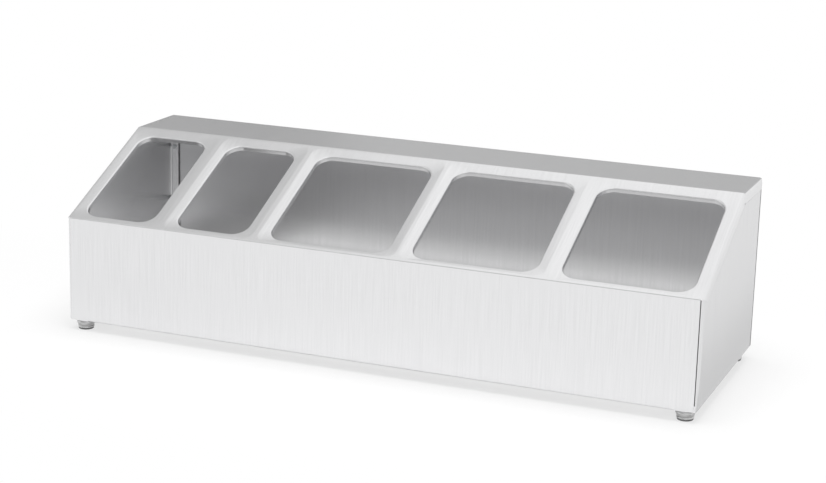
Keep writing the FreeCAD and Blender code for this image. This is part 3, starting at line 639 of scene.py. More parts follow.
right_sheet = block("right_side_sheet", (SIDE_BOTTOM, SIDE_FRONT, UNDER), (RIGHT, SIDE_REAR, TOP))
edit(right_sheet)
cut(right_sheet, (0, 0, TOP - SEAM), (0, 0, 1), clear_outer=True)
cut(right_sheet, seam_low, (0, 1, 0))
pick(right_sheet, "FACE", is_front_part)
bpy.ops.mesh.split()
cut(right_sheet, slope_seam, SQUARE, lambda face: not is_front_part(face), clear_outer=True)
cut(right_sheet, seam_low, (0, -seam_run.z, seam_run.y), is_front_part, clear_outer=True)
pick_all()
bpy.ops.mesh.remove_doubles(threshold=CLOSE)
drop_faces(right_sheet, lambda face: at(face, x=SIDE_BOTTOM))
print("bends of a side sheet", bend_edges(right_sheet, is_side_bend, BEND))

# %% [markdown]
# The flanges are cut to their widths: the upright ones are narrow, the bottom one is wide enough to carry the
# feet. Cuts beside the bends keep them flat, as on the deck. The rear flange stands a little off the back
# sheet at its free end, as a bent flange does when it springs back, and that gap shows as a dark line.


# %% Its flanges
def in_reach(face, low, high):
    """Whether every point of a face lies in a box."""
    return all(
        low[axis] - CLOSE < point.co[axis] < high[axis] + CLOSE for point in face.verts for axis in range(3)
    )


def is_rear_flange_end(point):
    """The free end of the rear flange."""
    return abs(point.co.x - RIGHT + UPRIGHT_FLANGE) < CLOSE and abs(point.co.y - SIDE_REAR) < CLOSE


for place, normal in [
    ((RIGHT - BEND - SUPPORT, 0, 0), (1, 0, 0)),
    ((0, SIDE_FRONT + BEND + SUPPORT, 0), (0, 1, 0)),
    ((0, SIDE_REAR - BEND - SUPPORT, 0), (0, 1, 0)),
    ((0, 0, UNDER + BEND + SUPPORT), (0, 0, 1)),
    ((RIGHT - UPRIGHT_FLANGE, 0, 0), (1, 0, 0)),
    ((0, 0, UNDER + CORNER), (0, 0, 1)),
]:
    cut(right_sheet, place, normal)
trim_low = (SIDE_BOTTOM, SIDE_FRONT, UNDER + BEND + SUPPORT)
trim_high = (RIGHT - UPRIGHT_FLANGE, SIDE_REAR, TOP)
print("trimmed", drop_faces(right_sheet, lambda face: in_reach(face, trim_low, trim_high)))
shift_points(right_sheet, is_rear_flange_end, (0, -FLANGE_LIFT, 0))

# %% [markdown]
# The lip lies behind the deck's side flange, where the two sheets overlap. It is the face's own upper edge,
# stepped in by more than one gauge and drawn up again, so the face below it is flush with the flange.


# %% Its lip
lip_front = relief_low.y
lip_rear = SIDE_REAR - BEND - SUPPORT


def on_seam(edge):
    """The upper edge of the face, along the slope and the ledge."""
    level = at(edge, z=TOP - SEAM) and all(point.co.y < lip_rear + CLOSE for point in edge.verts)
    sloped = on_slope(edge, SEAM) and all(point.co.y > lip_front - CLOSE for point in edge.verts)
    return at(edge, x=RIGHT) and len(edge.link_faces) == 1 and (level or sloped)


def on_step(edge):
    """The free edge of the lip while it is drawn."""
    along = abs(edge.verts[0].co.y - edge.verts[1].co.y) > MM
    return at(edge, x=RIGHT - LIP_STEP) and len(edge.link_faces) == 1 and along


print("seam edges", pull(right_sheet, on_seam, (-LIP_STEP, 0, 0)))
print("step edges", pull(right_sheet, on_step, (0, 0, LIP_HEIGHT)))

# %% [markdown]
# The side sheet gets its thickness and its holes: two for the feet in the bottom flange, three for the back
# sheet's screws in the rear flange. They are bored after Solidify, so that they go through the metal and get
# clean walls. The left sheet is a mirrored copy: on the real holder it is the same blank, folded the other way.


# %% Its thickness and its holes
def turn_outwards(piece, outer):
    """Recalculates a skin's faces, and flips them where they look away from an outward direction."""
    merge_close()
    mesh = bmesh.from_edit_mesh(piece.data)
    if sum(face.normal.dot(Vector(outer)) * face.calc_area() for face in mesh.faces) < 0:
        bpy.ops.mesh.flip_normals()


def axis_of(box, height=0):
    """Where a foot's axis stands, from the box of its stud."""
    low, high = box
    return Vector(((low.x + high.x) / 2, (low.y + high.y) / 2, height))


turn_outwards(right_sheet, (1, 0, 0))
thicken(right_sheet)
stud_boxes = [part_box("foot_stud_front_right"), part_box("foot_stud_rear_right")]
drill(right_sheet, [axis_of(box, UNDER) for box in stud_boxes], STUD_HOLE, DRILL_DEPTH)
screw_heights = [UNDER + (TOP - FLANGE - UNDER) * share for share in SCREW_SHARES]
screw_places = [(RIGHT - SCREW_INSET, SIDE_REAR, height) for height in screw_heights]
drill(right_sheet, screw_places, SCREW_HOLE, DRILL_DEPTH, (math.pi / 2, 0, 0))
smooth(right_sheet)
count(right_sheet)


# %% The left side sheet
def copy_of(piece, name, shift=(0, 0, 0), mirrored=False):
    """A copy with a mesh of its own, moved or mirrored across the middle of the holder."""
    activate(piece)
    bpy.ops.object.duplicate()
    twin = bpy.context.active_object
    twin.name = twin.data.name = name
    twin.location = shift
    if mirrored:
        twin.scale = (-1, 1, 1)
    settle(twin)
    if mirrored:
        edit(twin)
        pick_all()
        bpy.ops.mesh.normals_make_consistent(inside=False)
        deselect()
    return twin


left_sheet = copy_of(right_sheet, "left_side_sheet", mirrored=True)
count(left_sheet)

# %% [markdown]
# The back is a shallow tray with its rim turned to the rear, so that the rim shows as a thin band beside the
# deck's rear edge. It starts as a plane with rounded corners, and its rim is drawn back from the edge. Rounding
# the plane first is simpler than rounding the corners of a finished box, where three bends would meet.

# %% Back sheet
BACK_CORNER = 3 * MM
BACK_CORNER_STEPS = 6
BACK_BEND = 1.2 * MM
BACK_BEND_STEPS = 4
RIM_REACH = 1.9 * MM  # the rim's sides, out from the frame's own back panel
back_low, back_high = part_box("back_panel")


def is_rim_bend(edge):
    """The edge between the back's face and its rim."""
    return at(edge, y=back_low.y) and len(edge.link_faces) == 2


deselect()
bpy.ops.mesh.primitive_plane_add(size=1, location=(0, 0, 0))
back_sheet = bpy.context.active_object
back_sheet.name = back_sheet.data.name = "back_sheet"
back_sheet.scale = (back_high.x - back_low.x + 2 * RIM_REACH, back_high.z - back_low.z, 1)
back_sheet.rotation_euler = (math.pi / 2, 0, 0)
back_sheet.location = (0, back_low.y, (back_low.z + back_high.z) / 2)
settle(back_sheet)
edit(back_sheet)
pick(back_sheet, "VERT", lambda point: True)
round_corners(BACK_CORNER, BACK_CORNER_STEPS)
pull(back_sheet, lambda edge: edge.is_boundary, (0, back_high.y - back_low.y, 0))
print("rim bends", bend_edges(back_sheet, is_rim_bend, BACK_BEND, BACK_BEND_STEPS))
pick(back_sheet, "FACE", lambda face: at(face, y=back_low.y))
bpy.ops.mesh.inset(thickness=SUPPORT, depth=0)
turn_outwards(back_sheet, (0, -1, 0))
thicken(back_sheet)
for side in (1, -1):
    places = [(side * x, y, z) for x, y, z in screw_places]
    drill(back_sheet, places, SCREW_HOLE, DRILL_DEPTH, (math.pi / 2, 0, 0))
smooth(back_sheet)
count(back_sheet)

# %% [markdown]
# The small turned pieces. A foot's pad, its rubber sole and the stud's foot are all turned on a lathe, so
# each is half a section spun once about the foot's axis. Points are added one after another by extruding the
# last one, which leaves the line of edges that spin needs. A Screw modifier would do the same, but spin closes
# the ring at once, and the points on the axis merge right after it.

# %% Helpers for turned pieces
TURNS = 64  # faces round a foot
TURNED_ANGLE = 40  # degrees up to which turned faces shade smoothly


def draw_line(name, points):
    """A line of edges through points, given as (radius, height) in metres and left open in edit mode."""
    deselect()
    bpy.ops.mesh.primitive_plane_add(size=1)
    piece = bpy.context.active_object
    piece.name = piece.data.name = name
    bpy.ops.object.mode_set(mode="EDIT")
    bpy.ops.mesh.merge(type="CENTER")
    pick_all()
    radius, height = points[0]
    bpy.ops.transform.translate(value=(radius, 0, height))
    for (old_radius, old_height), (radius, height) in zip(points, points[1:]):
        bpy.ops.mesh.extrude_vertices_move(
            TRANSFORM_OT_translate={"value": (radius - old_radius, 0, height - old_height)}
        )
    return piece


def turned(name, section, centre, steps=TURNS):
    """A piece spun from half a section."""
    piece = draw_line(name, section)
    pick_all()
    bpy.ops.mesh.spin(steps=steps, angle=2 * math.pi, center=(0, 0, 0), axis=(0, 0, 1))
    merge_close(CLOSE / 10)
    deselect()
    piece.location = centre
    settle(piece)
    return piece


def arc(centre_radius, centre_height, radius, first, last, steps):
    """Points of a section along an arc, with its angles in degrees."""
    points = []
    for step in range(steps + 1):
        turn = math.radians(first + (last - first) * step / steps)
        points.append((centre_radius + radius * math.cos(turn), centre_height + radius * math.sin(turn)))
    return points


# %% Sizes of a foot
stud_low, stud_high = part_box("foot_stud_front_right")
pad_low, pad_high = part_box("foot_pad_front_right")
sole_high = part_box("foot_sole_front_right")[1]
FOOT = axis_of((stud_low, stud_high))
pad_top, pad_foot = pad_high.z, pad_low.z
PAD_TOP_RADIUS = 11 * MM
PAD_LOW_RADIUS = 9 * MM
SHOULDER = 1.6 * MM  # the shoulder's round: its centre, in from the rim
SHOULDER_FALL = 2.9 * MM  # its centre, below the top
SHOULDER_ROUND = 1.55 * MM
SEAT = 5 * MM  # where the bore for the stud ends
NECK = 3.25 * MM  # radius of that bore
NECK_ROUND = 0.3 * MM
GROOVE_HIGH, GROOVE_LOW = 3.3 * MM, 2.8 * MM  # the groove above the lower bead
GROOVE_STEP = 0.25 * MM  # half its depth
BEAD_ROUND = 1.3 * MM  # radius of the lower bead
BEAD_INSET = 0.95 * MM
BOSS = 5 * MM  # radius of the sole's boss, which holds it in the pad
BOSS_PLAY = 0.1 * MM
BOSS_HOLE = 1.6 * MM  # depth of the pad's hole for it
SOLE_RADIUS = 8.6 * MM
SOLE_EDGE = 0.5 * MM
SOLE_CHAMFER = 0.15 * MM
ROUND_START = 62  # degrees above level where the rounds of shoulder and bead begin
SHOULDER_STEPS, BEAD_ROUND_STEPS, SOLE_STEPS = 8, 12, 4
LEAN = math.degrees(math.atan2(PAD_TOP_RADIUS - PAD_LOW_RADIUS, pad_top - pad_foot))
print("a pad leans in by", round(LEAN, 1), "degrees")

# %% Feet
shoulder_centre = (PAD_TOP_RADIUS - SHOULDER, pad_top - SHOULDER_FALL)
bead_centre = (PAD_LOW_RADIUS - BEAD_INSET, pad_foot + BEAD_ROUND)
shoulder_round = arc(*shoulder_centre, SHOULDER_ROUND, ROUND_START, -LEAN, SHOULDER_STEPS)
bead_round = arc(*bead_centre, BEAD_ROUND, ROUND_START, -90, BEAD_ROUND_STEPS)
pad = turned(
    "foot_pad_turned_front_right",
    [
        (0, SEAT),
        (NECK, SEAT),
        (NECK, pad_top - NECK_ROUND),
        (NECK + NECK_ROUND, pad_top),
        (PAD_TOP_RADIUS - SHOULDER, pad_top),
        *shoulder_round,
        (PAD_LOW_RADIUS + GROOVE_STEP, pad_foot + GROOVE_HIGH),
        (PAD_LOW_RADIUS - GROOVE_STEP, pad_foot + GROOVE_LOW),
        *bead_round,
        (BOSS + BOSS_PLAY, pad_foot),
        (BOSS + BOSS_PLAY, pad_foot + BOSS_HOLE),
        (0, pad_foot + BOSS_HOLE),
    ],
    FOOT,
)
sole = turned(
    "foot_sole_turned_front_right",
    [
        (0, sole_high.z),
        (BOSS, sole_high.z),
        (BOSS, pad_foot),
        (SOLE_RADIUS - SOLE_CHAMFER, pad_foot),
        (SOLE_RADIUS, pad_foot - SOLE_CHAMFER),
        *arc(SOLE_RADIUS - SOLE_EDGE, SOLE_EDGE, SOLE_EDGE, 0, -90, SOLE_STEPS),
        (0, 0),
    ],
    FOOT,
)
for piece in (pad, sole):
    smooth(piece, TURNED_ANGLE)
    count(piece)

# %% [markdown]
# The studs. A levelling foot's stud is a screw with a round foot at its lower end, which turns in the pad, and
# a slot in its top for a screwdriver. The core is turned like the pads and the slot is cut by a box. The
# thread is a real helix: its profile is swept by a Screw modifier, since a stack of plain rings would not climb.

# %% Sizes of a stud
THREAD = 2.95 * MM  # radius over the thread
ROOT = 2.45 * MM  # radius of the core
PITCH = 1 * MM
CREST_ROUND = 0.05 * MM
THREAD_START = 0.5 * MM  # plain length above the stud's foot
THREAD_END = 0.7 * MM  # plain length below its top
THREAD_STEPS = 24  # faces in each turn
CORE_STEPS = 32
STUD_FOOT = 5 * MM
STUD_FOOT_HEIGHT = 2 * MM
STUD_CHAMFER = 0.3 * MM
SLOT_HALF = 0.6 * MM
SLOT_DEPTH = 1.6 * MM
stud_top = stud_high.z
stud_foot_top = stud_low.z + STUD_FOOT_HEIGHT
thread_low = stud_foot_top + THREAD_START
thread_turns = int((stud_top - THREAD_END - thread_low) / PITCH) - 1
print("thread turns", thread_turns)

# %% A stud's core
core = turned(
    "foot_stud_turned_front_right",
    [
        (0, stud_low.z),
        (STUD_FOOT - STUD_CHAMFER, stud_low.z),
        (STUD_FOOT, stud_low.z + STUD_CHAMFER),
        (STUD_FOOT, stud_foot_top - STUD_CHAMFER),
        (STUD_FOOT - STUD_CHAMFER, stud_foot_top),
        (ROOT, stud_foot_top),
        (ROOT, stud_top - STUD_CHAMFER),
        (ROOT - STUD_CHAMFER, stud_top),
        (0, stud_top),
    ],
    (0, 0, 0),
    CORE_STEPS,
)
slot = block(
    "slot_cutter",
    (-SLOT_HALF, -2 * THREAD, stud_top - SLOT_DEPTH),
    (SLOT_HALF, 2 * THREAD, stud_top + MM),
)
finish_with(core, "BOOLEAN", object=slot, operation="DIFFERENCE", solver="EXACT")
bpy.data.objects.remove(slot)
count(core)

# %% Its thread
thread_profile = [
    (ROOT - CREST_ROUND, 0.0),
    (THREAD - CREST_ROUND, 0.38),
    (THREAD, 0.44),
    (THREAD, 0.5),
    (THREAD - CREST_ROUND, 0.56),
    (ROOT - CREST_ROUND, 0.94),
]
thread = draw_line("thread", [(radius, thread_low + PITCH * rise) for radius, rise in thread_profile])
pick(thread, "VERT", lambda point: point.co.x < ROOT)
bpy.ops.mesh.edge_face_add()
finish_with(
    thread,
    "SCREW",
    angle=2 * math.pi,
    screw_offset=PITCH,
    iterations=thread_turns,
    steps=THREAD_STEPS,
    render_steps=THREAD_STEPS,
    use_merge_vertices=True,
    merge_threshold=CLOSE / 10,
)
edit(thread)
print("open ends of the thread", pick(thread, "EDGE", lambda edge: edge.is_boundary))
bpy.ops.mesh.fill()
pick_all()
bpy.ops.mesh.normals_make_consistent(inside=False)
stud = weld(core, thread)
stud.location = FOOT
settle(stud)
smooth(stud, TURNED_ANGLE)
count(stud)

# %% [markdown]
# Four equal feet. The first is copied to the other corners, and each copy rides on the body that carries it in the
# frame, so that it follows when the joint moves. The sheets all ride on the holder itself. Copies that share one
# mesh would be lighter, but each foot moves by itself, so each gets its own.

# %% Copies and bodies
corners = ["front_left", "front_right", "rear_left", "rear_right"]
turned_pieces = {"foot_pad": pad, "foot_sole": sole, "foot_stud": stud}
carriers = {"foot_pad": "foot", "foot_sole": "foot", "foot_stud": "stud"}
feet = {"foot_pad": [pad], "foot_sole": [sole], "foot_stud": [stud]}
for corner in corners:
    shift = axis_of(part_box(f"foot_stud_{corner}")) - FOOT
    for kind, model in turned_pieces.items():
        piece = model
        if corner != "front_right":
            piece = copy_of(model, f"{kind}_turned_{corner}", shift)
            feet[kind].append(piece)
        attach(piece, f"{carriers[kind]}_{corner}")
        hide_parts(f"{kind}_{corner}")

sheets = [
    (deck, "deck_shell"),
    (right_sheet, "right_side_panel"),
    (left_sheet, "left_side_panel"),
    (back_sheet, "back_panel"),
]
for piece, node in sheets:
    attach(piece, "holder")
    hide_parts(node)
print("pieces riding", len(turned_pieces) * len(corners) + len(sheets))

# %% [markdown]
# The finishes. Brushed steel is a metal whose blur is drawn out across the grain, so its shader is
# anisotropic and gets the direction across the grain as its tangent. The grain itself is noise that is
# stretched along the sheet: a little in the colour, a little in the roughness, and a very faint bump. An image
# of scratches would do too, but it would have to be unwrapped over every bend.

# %% Helpers for materials
NOISE = {"From Min": 0.3, "From Max": 0.7}  # the middle range, where nearly all noise lies


def linear(code):
    """A screen colour as linear light, by the standard curve of screens."""
    parts = [int(code[start:start + 2], 16) / 255 for start in (1, 3, 5)]
    return tuple(part / 12.92 if part <= 0.04045 else ((part + 0.055) / 1.055) ** 2.4 for part in parts) + (1,)


def add_node(tree, kind, inputs=None, **settings):
    """A node with its settings, and its inputs set to a value or joined to an output."""
    node = tree.nodes.new(kind)
    for name, value in settings.items():
        setattr(node, name, value)
    for name, value in (inputs or {}).items():
        if isinstance(value, bpy.types.NodeSocket):
            tree.links.new(value, node.inputs[name])
        else:
            node.inputs[name].default_value = value
    return node


def new_material(name):
    """An empty material, its tree and its shader."""
    material = bpy.data.materials.new(name)
    material.use_nodes = True
    tree = material.node_tree
    tree.nodes.clear()
    shader = add_node(tree, "ShaderNodeBsdfPrincipled")
    add_node(tree, "ShaderNodeOutputMaterial", {"Surface": shader.outputs["BSDF"]})
    return material, tree, shader


def wear(piece, material):
    """Gives a piece one material on every face."""
    piece.data.materials.clear()
    piece.data.materials.append(material)


print("white is", linear("#FFFFFF"), "and mid grey", [round(n, 3) for n in linear("#808080")])

# %% Brushed steel
STREAK_WIDTH = 1.4 * MM  # drawn coarser than the real scratches, which are too fine to show at this size
STREAK_LENGTH = 60 * MM
WAVE_WIDTH = 22 * MM  # broad, slow changes from the rolling
WAVE_STRETCH = 6  # how much longer than wide they are
STEEL = linear("#E9E9EA")
STEEL_DULL = linear("#E5E5E6")
UNEVEN = 0.01  # how much streaks and waves change the roughness
BRUSH_DEPTH = 0.01 * MM
ANISOTROPY = 0.8  # how far the blur is drawn out across the grain


def brushed_steel(name, grain, across, relief, roughness=0.24):
    """Steel brushed along one direction. The noise changes fast along the directions given as across."""
    material, tree, shader = new_material(name)
    place = add_node(tree, "ShaderNodeTexCoord").outputs["Object"]
    patterns = []
    for width, length, detail in [
        (STREAK_WIDTH, STREAK_LENGTH, 1),
        (WAVE_WIDTH, WAVE_STRETCH * WAVE_WIDTH, 2),
    ]:
        scale = [1 / width if fast else 1 / length for fast in across]
        spot = add_node(tree, "ShaderNodeVectorMath", {0: place, 1: scale}, operation="MULTIPLY").outputs["Vector"]
        noise = add_node(tree, "ShaderNodeTexNoise", {"Vector": spot, "Scale": 1, "Detail": detail})
        patterns.append(noise.outputs["Fac"])
    streaks, waves = patterns

    share = add_node(tree, "ShaderNodeMapRange", {"Value": streaks, **NOISE, "To Min": 0, "To Max": 1})
    mixed = {0: share.outputs["Result"], 6: STEEL, 7: STEEL_DULL}
    colour = add_node(tree, "ShaderNodeMix", mixed, data_type="RGBA")
    tree.links.new(colour.outputs[2], shader.inputs["Base Color"])

    fine_range = {"To Min": roughness - UNEVEN, "To Max": roughness + UNEVEN}
    fine_rough = add_node(tree, "ShaderNodeMapRange", {"Value": streaks, **NOISE, **fine_range})
    broad_range = {"To Min": -UNEVEN, "To Max": UNEVEN}
    broad_rough = add_node(tree, "ShaderNodeMapRange", {"Value": waves, **NOISE, **broad_range})
    both = {0: fine_rough.outputs["Result"], 1: broad_rough.outputs["Result"]}
    rough = add_node(tree, "ShaderNodeMath", both, operation="ADD")
    tree.links.new(rough.outputs["Value"], shader.inputs["Roughness"])

    bump = add_node(tree, "ShaderNodeBump", {"Height": streaks, "Strength": relief, "Distance": BRUSH_DEPTH})
    tree.links.new(bump.outputs["Normal"], shader.inputs["Normal"])
    normal = add_node(tree, "ShaderNodeNewGeometry").outputs["Normal"]
    crossing = add_node(tree, "ShaderNodeVectorMath", {0: normal, 1: grain}, operation="CROSS_PRODUCT")
    tree.links.new(crossing.outputs["Vector"], shader.inputs["Tangent"])
    shader.inputs["Metallic"].default_value = 1
    shader.inputs["Anisotropic"].default_value = ANISOTROPY
    return material


# A brushing belt runs over the sheet and leaves fine parallel scratches. They keep what the steel mirrors
# sharp along the grain and smear it across, which the eye reads as soft, straight bands of light.
deck_steel = brushed_steel(
    "steel_brushed_front_to_back", grain=tuple(UPHILL), across=(True, False, False), relief=0.1
)
# The sides and the back are brushed upright. The grain leans a little out of the upright, because on a level
# face, such as a bottom flange, an upright grain would have no direction at all.
upright_steel = brushed_steel("steel_brushed_upright", grain=(0, 0.03, 1), across=(True, True, False), relief=0.07)
print("streaks", round(STREAK_WIDTH / MM, 1), "mm wide and", round(STREAK_LENGTH / MM), "mm long")

# %% [markdown]
# The plain finishes. What is cut, turned, rolled or plated has no grain to speak of at this size, so it needs
# only a tone, a gloss and a little unevenness in the gloss. That unevenness keeps it from looking like plastic.

# %% Plain finishes
MOTTLE_WIDTH = 2 * MM
RUBBER_GRAIN = 0.4 * MM  # drawn coarser than the real grain of a mould
RUBBER_DEPTH = 0.02 * MM
RUBBER_ROUGH = {"To Min": 0.55, "To Max": 0.7}
RUBBER_RELIEF = 0.3


def plain_metal(name, code, roughness, mottle):
    """Metal of one tone with a slightly uneven gloss."""
    material, tree, shader = new_material(name)
    place = add_node(tree, "ShaderNodeTexCoord").outputs["Object"]
    noise = add_node(tree, "ShaderNodeTexNoise", {"Vector": place, "Scale": 1 / MOTTLE_WIDTH, "Detail": 3})
    gloss = {"To Min": roughness - mottle, "To Max": roughness + mottle}
    rough = add_node(tree, "ShaderNodeMapRange", {"Value": noise.outputs["Fac"], **NOISE, **gloss})
    tree.links.new(rough.outputs["Result"], shader.inputs["Roughness"])
    shader.inputs["Base Color"].default_value = linear(code)
    shader.inputs["Metallic"].default_value = 1
    return material


def rubber(name, code):
    """Moulded rubber with a fine grain."""
    material, tree, shader = new_material(name)
    place = add_node(tree, "ShaderNodeTexCoord").outputs["Object"]
    noise = add_node(tree, "ShaderNodeTexNoise", {"Vector": place, "Scale": 1 / RUBBER_GRAIN, "Detail": 3})
    grain = noise.outputs["Fac"]
    rough = add_node(tree, "ShaderNodeMapRange", {"Value": grain, **NOISE, **RUBBER_ROUGH})
    tree.links.new(rough.outputs["Result"], shader.inputs["Roughness"])
    raised = {"Height": grain, "Strength": RUBBER_RELIEF, "Distance": RUBBER_DEPTH}
    bump = add_node(tree, "ShaderNodeBump", raised)
    tree.links.new(bump.outputs["Normal"], shader.inputs["Normal"])
    shader.inputs["Base Color"].default_value = linear(code)
    return material


# Cut edges and faces deep in the seams get a matt steel painted much darker than the face: the dark tone is
# painted shade, for the shadow in the narrow gaps beside them.
painted_seam_shade = plain_metal("steel_sheared_edge", "#6E6E6F", roughness=0.55, mottle=0.08)
# A pad is turned and polished on the lathe, so it mirrors almost sharply.
foot_steel = plain_metal("steel_turned_foot", "#CACACA", roughness=0.15, mottle=0.02)
# The sheet's inner side is as the rolling mill leaves it: even, dull and without a direction.
mill_steel = plain_metal("steel_mill_finish", "#D6D6D7", roughness=0.34, mottle=0.04)
# Zinc plating grows in tiny crystals, which makes the screws' gloss soft and patchy.
zinc_steel = plain_metal("steel_zinc_plated", "#DADCDD", roughness=0.32, mottle=0.06)
# Moulded rubber takes the fine grain of its mould, which scatters the light and hides all mirroring.
foot_rubber = rubber("rubber_sole", "#8A8A8C")
print("materials", sorted(material.name for material in bpy.data.materials))

# %% [markdown]
# One sheet can have more than one finish: its face is brushed and its inner side is not. Its cut edges, and faces
# deep in the seams, are painted dark as the shade in the seams. The faces are found by where they lie and where
# they look, and get a second material slot. That is simpler than a mask, because here each finish ends exactly at
# an edge.


# %% Faces with a finish of their own
LOOKS = 0.9  # a face looks along a direction when its normal has at least this much of it
END_REACH = 0.3 * MM  # how near a sheared end's faces lie to where the flange ends
PANEL_REACH = 1.1 * GAUGE  # the panel's sheet, from its face
REAR_REACH = 3 * GAUGE  # the rear flange's sheet, from the back


def is_panel_edge(face):
    """The front panel's sheared sides, which get the painted seam shade."""
    spot = middle(face)
    in_panel = abs(abs(spot.x) - panel_half) < CLOSE and spot.y < FRONT + PANEL_REACH
    return abs(face.normal.x) > LOOKS and in_panel


def is_reverse_side(face):
    """The inner side of the deck's sheet, which keeps the finish of the rolling mill."""
    spot = middle(face)
    behind_front = abs(spot.y - FRONT - GAUGE) < CLOSE and face.normal.y > LOOKS
    below_slope = abs(drop_below_deck(spot) - GAUGE) < CLOSE and face.normal.dot(SQUARE) < -LOOKS
    below_ledge = abs(spot.z - TOP + GAUGE) < CLOSE and face.normal.z < -LOOKS
    return behind_front or below_slope or below_ledge


def is_rim_side(face):
    """The outer sides of the back sheet's rim, painted dark as the shade of the seam at the rear corners."""
    return abs(face.normal.x) > LOOKS and abs(middle(face).x) > back_high.x


def is_hidden_flange(face):
    """The outer face of a side sheet's front flange, which the front panel covers. It is painted dark as the shade
    in the seam beside the panel.
    """
    spot = middle(face)
    covered = abs(spot.x) < RIGHT - BEND + CLOSE and spot.z > UNDER + CORNER
    return face.normal.y < -LOOKS and spot.y < SIDE_FRONT + CLOSE and covered


def is_flange_end(face):
    """The sheared end of a side sheet's rear flange, painted dark as the shade of the gap behind it."""
    spot = middle(face)
    at_end = abs(abs(spot.x) - RIGHT + UPRIGHT_FLANGE) < END_REACH
    return abs(face.normal.x) > LOOKS and at_end and spot.y > SIDE_REAR - REAR_REACH


def is_painted_shade_on_side(face):
    """What a side sheet has in the painted seam shade."""
    return is_hidden_flange(face) or is_flange_end(face)


# %% The finishes on the pieces
def wear_on_faces(piece, material, test):
    """Gives the faces that pass a test another material."""
    piece.data.materials.append(material)
    edit(piece)
    number = pick(piece, "FACE", test)
    piece.active_material_index = len(piece.data.materials) - 1
    bpy.ops.object.material_slot_assign()
    deselect()
    return number


wear(deck, deck_steel)
for piece in (right_sheet, left_sheet, back_sheet):
    wear(piece, upright_steel)
# Painted shade: the panel's cut sides, the back's rim sides, and the side sheets' covered flanges and flange ends
# get the dark tone of the seams.
print("sheared faces", wear_on_faces(deck, painted_seam_shade, is_panel_edge))
print("reverse faces", wear_on_faces(deck, mill_steel, is_reverse_side))
print("rim faces", wear_on_faces(back_sheet, painted_seam_shade, is_rim_side))
for piece in (right_sheet, left_sheet):
    print("covered faces", wear_on_faces(piece, painted_seam_shade, is_painted_shade_on_side))
for kind, material in [("foot_pad", foot_steel), ("foot_sole", foot_rubber), ("foot_stud", zinc_steel)]:
    for piece in feet[kind]:
        wear(piece, material)
for node in ["foot_weld_nuts", "back_panel_screws", "back_panel_nuts"]:
    wear(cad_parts[node], zinc_steel)
for corner in corners:
    wear(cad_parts[f"foot_plate_{corner}"], upright_steel)

# %% [markdown]
# The studio. Steel shows what it mirrors, so the room matters more than the lamps. The world is plain white
# for the eye and for mirroring faces, and weaker as light, so that shadows keep their depth. The floor keeps
# the soft shadow near the holder and glows to white farther out, as a product photograph on white does. A
# curved backdrop would do the same, but its bend would show in the steel.


# %% The floor
def share_of_eye_and_mirrors(tree):
    """One for rays from the camera, from a mirroring face or through glass, and nought for all others."""
    rays = add_node(tree, "ShaderNodeLightPath").outputs
    two = {0: rays["Is Camera Ray"], 1: rays["Is Glossy Ray"]}
    three = {0: add_node(tree, "ShaderNodeMath", two, operation="ADD").outputs[0], 1: rays["Is Transmission Ray"]}
    return add_node(tree, "ShaderNodeMath", three, operation="ADD", use_clamp=True).outputs[0]


FLOOR_SIZE = 12
GLOW_NEAR = {"To Min": 0.1, "To Max": 0.66}  # glow beside the holder, as mirrors and as the camera see it
GLOW_START = {"To Min": 0.13, "To Max": 0.2}  # metres from the middle where it starts to grow, for the same two
GLOW_FULL = 0.42  # metres from the middle where the floor is white
GLOW_SHAPE = (0.5, 1, 0)  # the glow's border is an oval, since the holder is long

deselect()
bpy.ops.mesh.primitive_plane_add(size=FLOOR_SIZE, location=(0, 0, 0))
floor = bpy.context.active_object
floor.name = floor.data.name = "floor"
floor_paint, floor_tree, floor_shader = new_material("floor_white")
floor_shader.inputs["Base Color"].default_value = linear("#F4F4F4")
floor_shader.inputs["Roughness"].default_value = 0.9
by_eye = add_node(floor_tree, "ShaderNodeLightPath").outputs["Is Camera Ray"]
near = add_node(floor_tree, "ShaderNodeMapRange", {"Value": by_eye, **GLOW_NEAR}).outputs[0]
border = add_node(floor_tree, "ShaderNodeMapRange", {"Value": by_eye, **GLOW_START}).outputs[0]
spot = add_node(floor_tree, "ShaderNodeTexCoord").outputs["Object"]
oval = add_node(floor_tree, "ShaderNodeVectorMath", {0: spot, 1: GLOW_SHAPE}, operation="MULTIPLY").outputs[0]
away = add_node(floor_tree, "ShaderNodeVectorMath", {0: oval}, operation="LENGTH").outputs["Value"]
growing = {"Value": away, "From Min": border, "From Max": GLOW_FULL, "To Min": near, "To Max": 1}
share = add_node(floor_tree, "ShaderNodeMapRange", growing).outputs["Result"]
shown = {0: share_of_eye_and_mirrors(floor_tree), 1: share}
amount = add_node(floor_tree, "ShaderNodeMath", shown, operation="MULTIPLY").outputs[0]
glow = add_node(floor_tree, "ShaderNodeEmission", {"Color": (1, 1, 1, 1), "Strength": 1}).outputs[0]
blend = {0: amount, 1: floor_shader.outputs[0], 2: glow}
floor_mix = add_node(floor_tree, "ShaderNodeMixShader", blend)
floor_output = [node for node in floor_tree.nodes if node.type == "OUTPUT_MATERIAL"][0]
floor_tree.links.new(floor_mix.outputs[0], floor_output.inputs["Surface"])
wear(floor, floor_paint)
print("floor", FLOOR_SIZE, "m wide, white from", GLOW_FULL, "m")

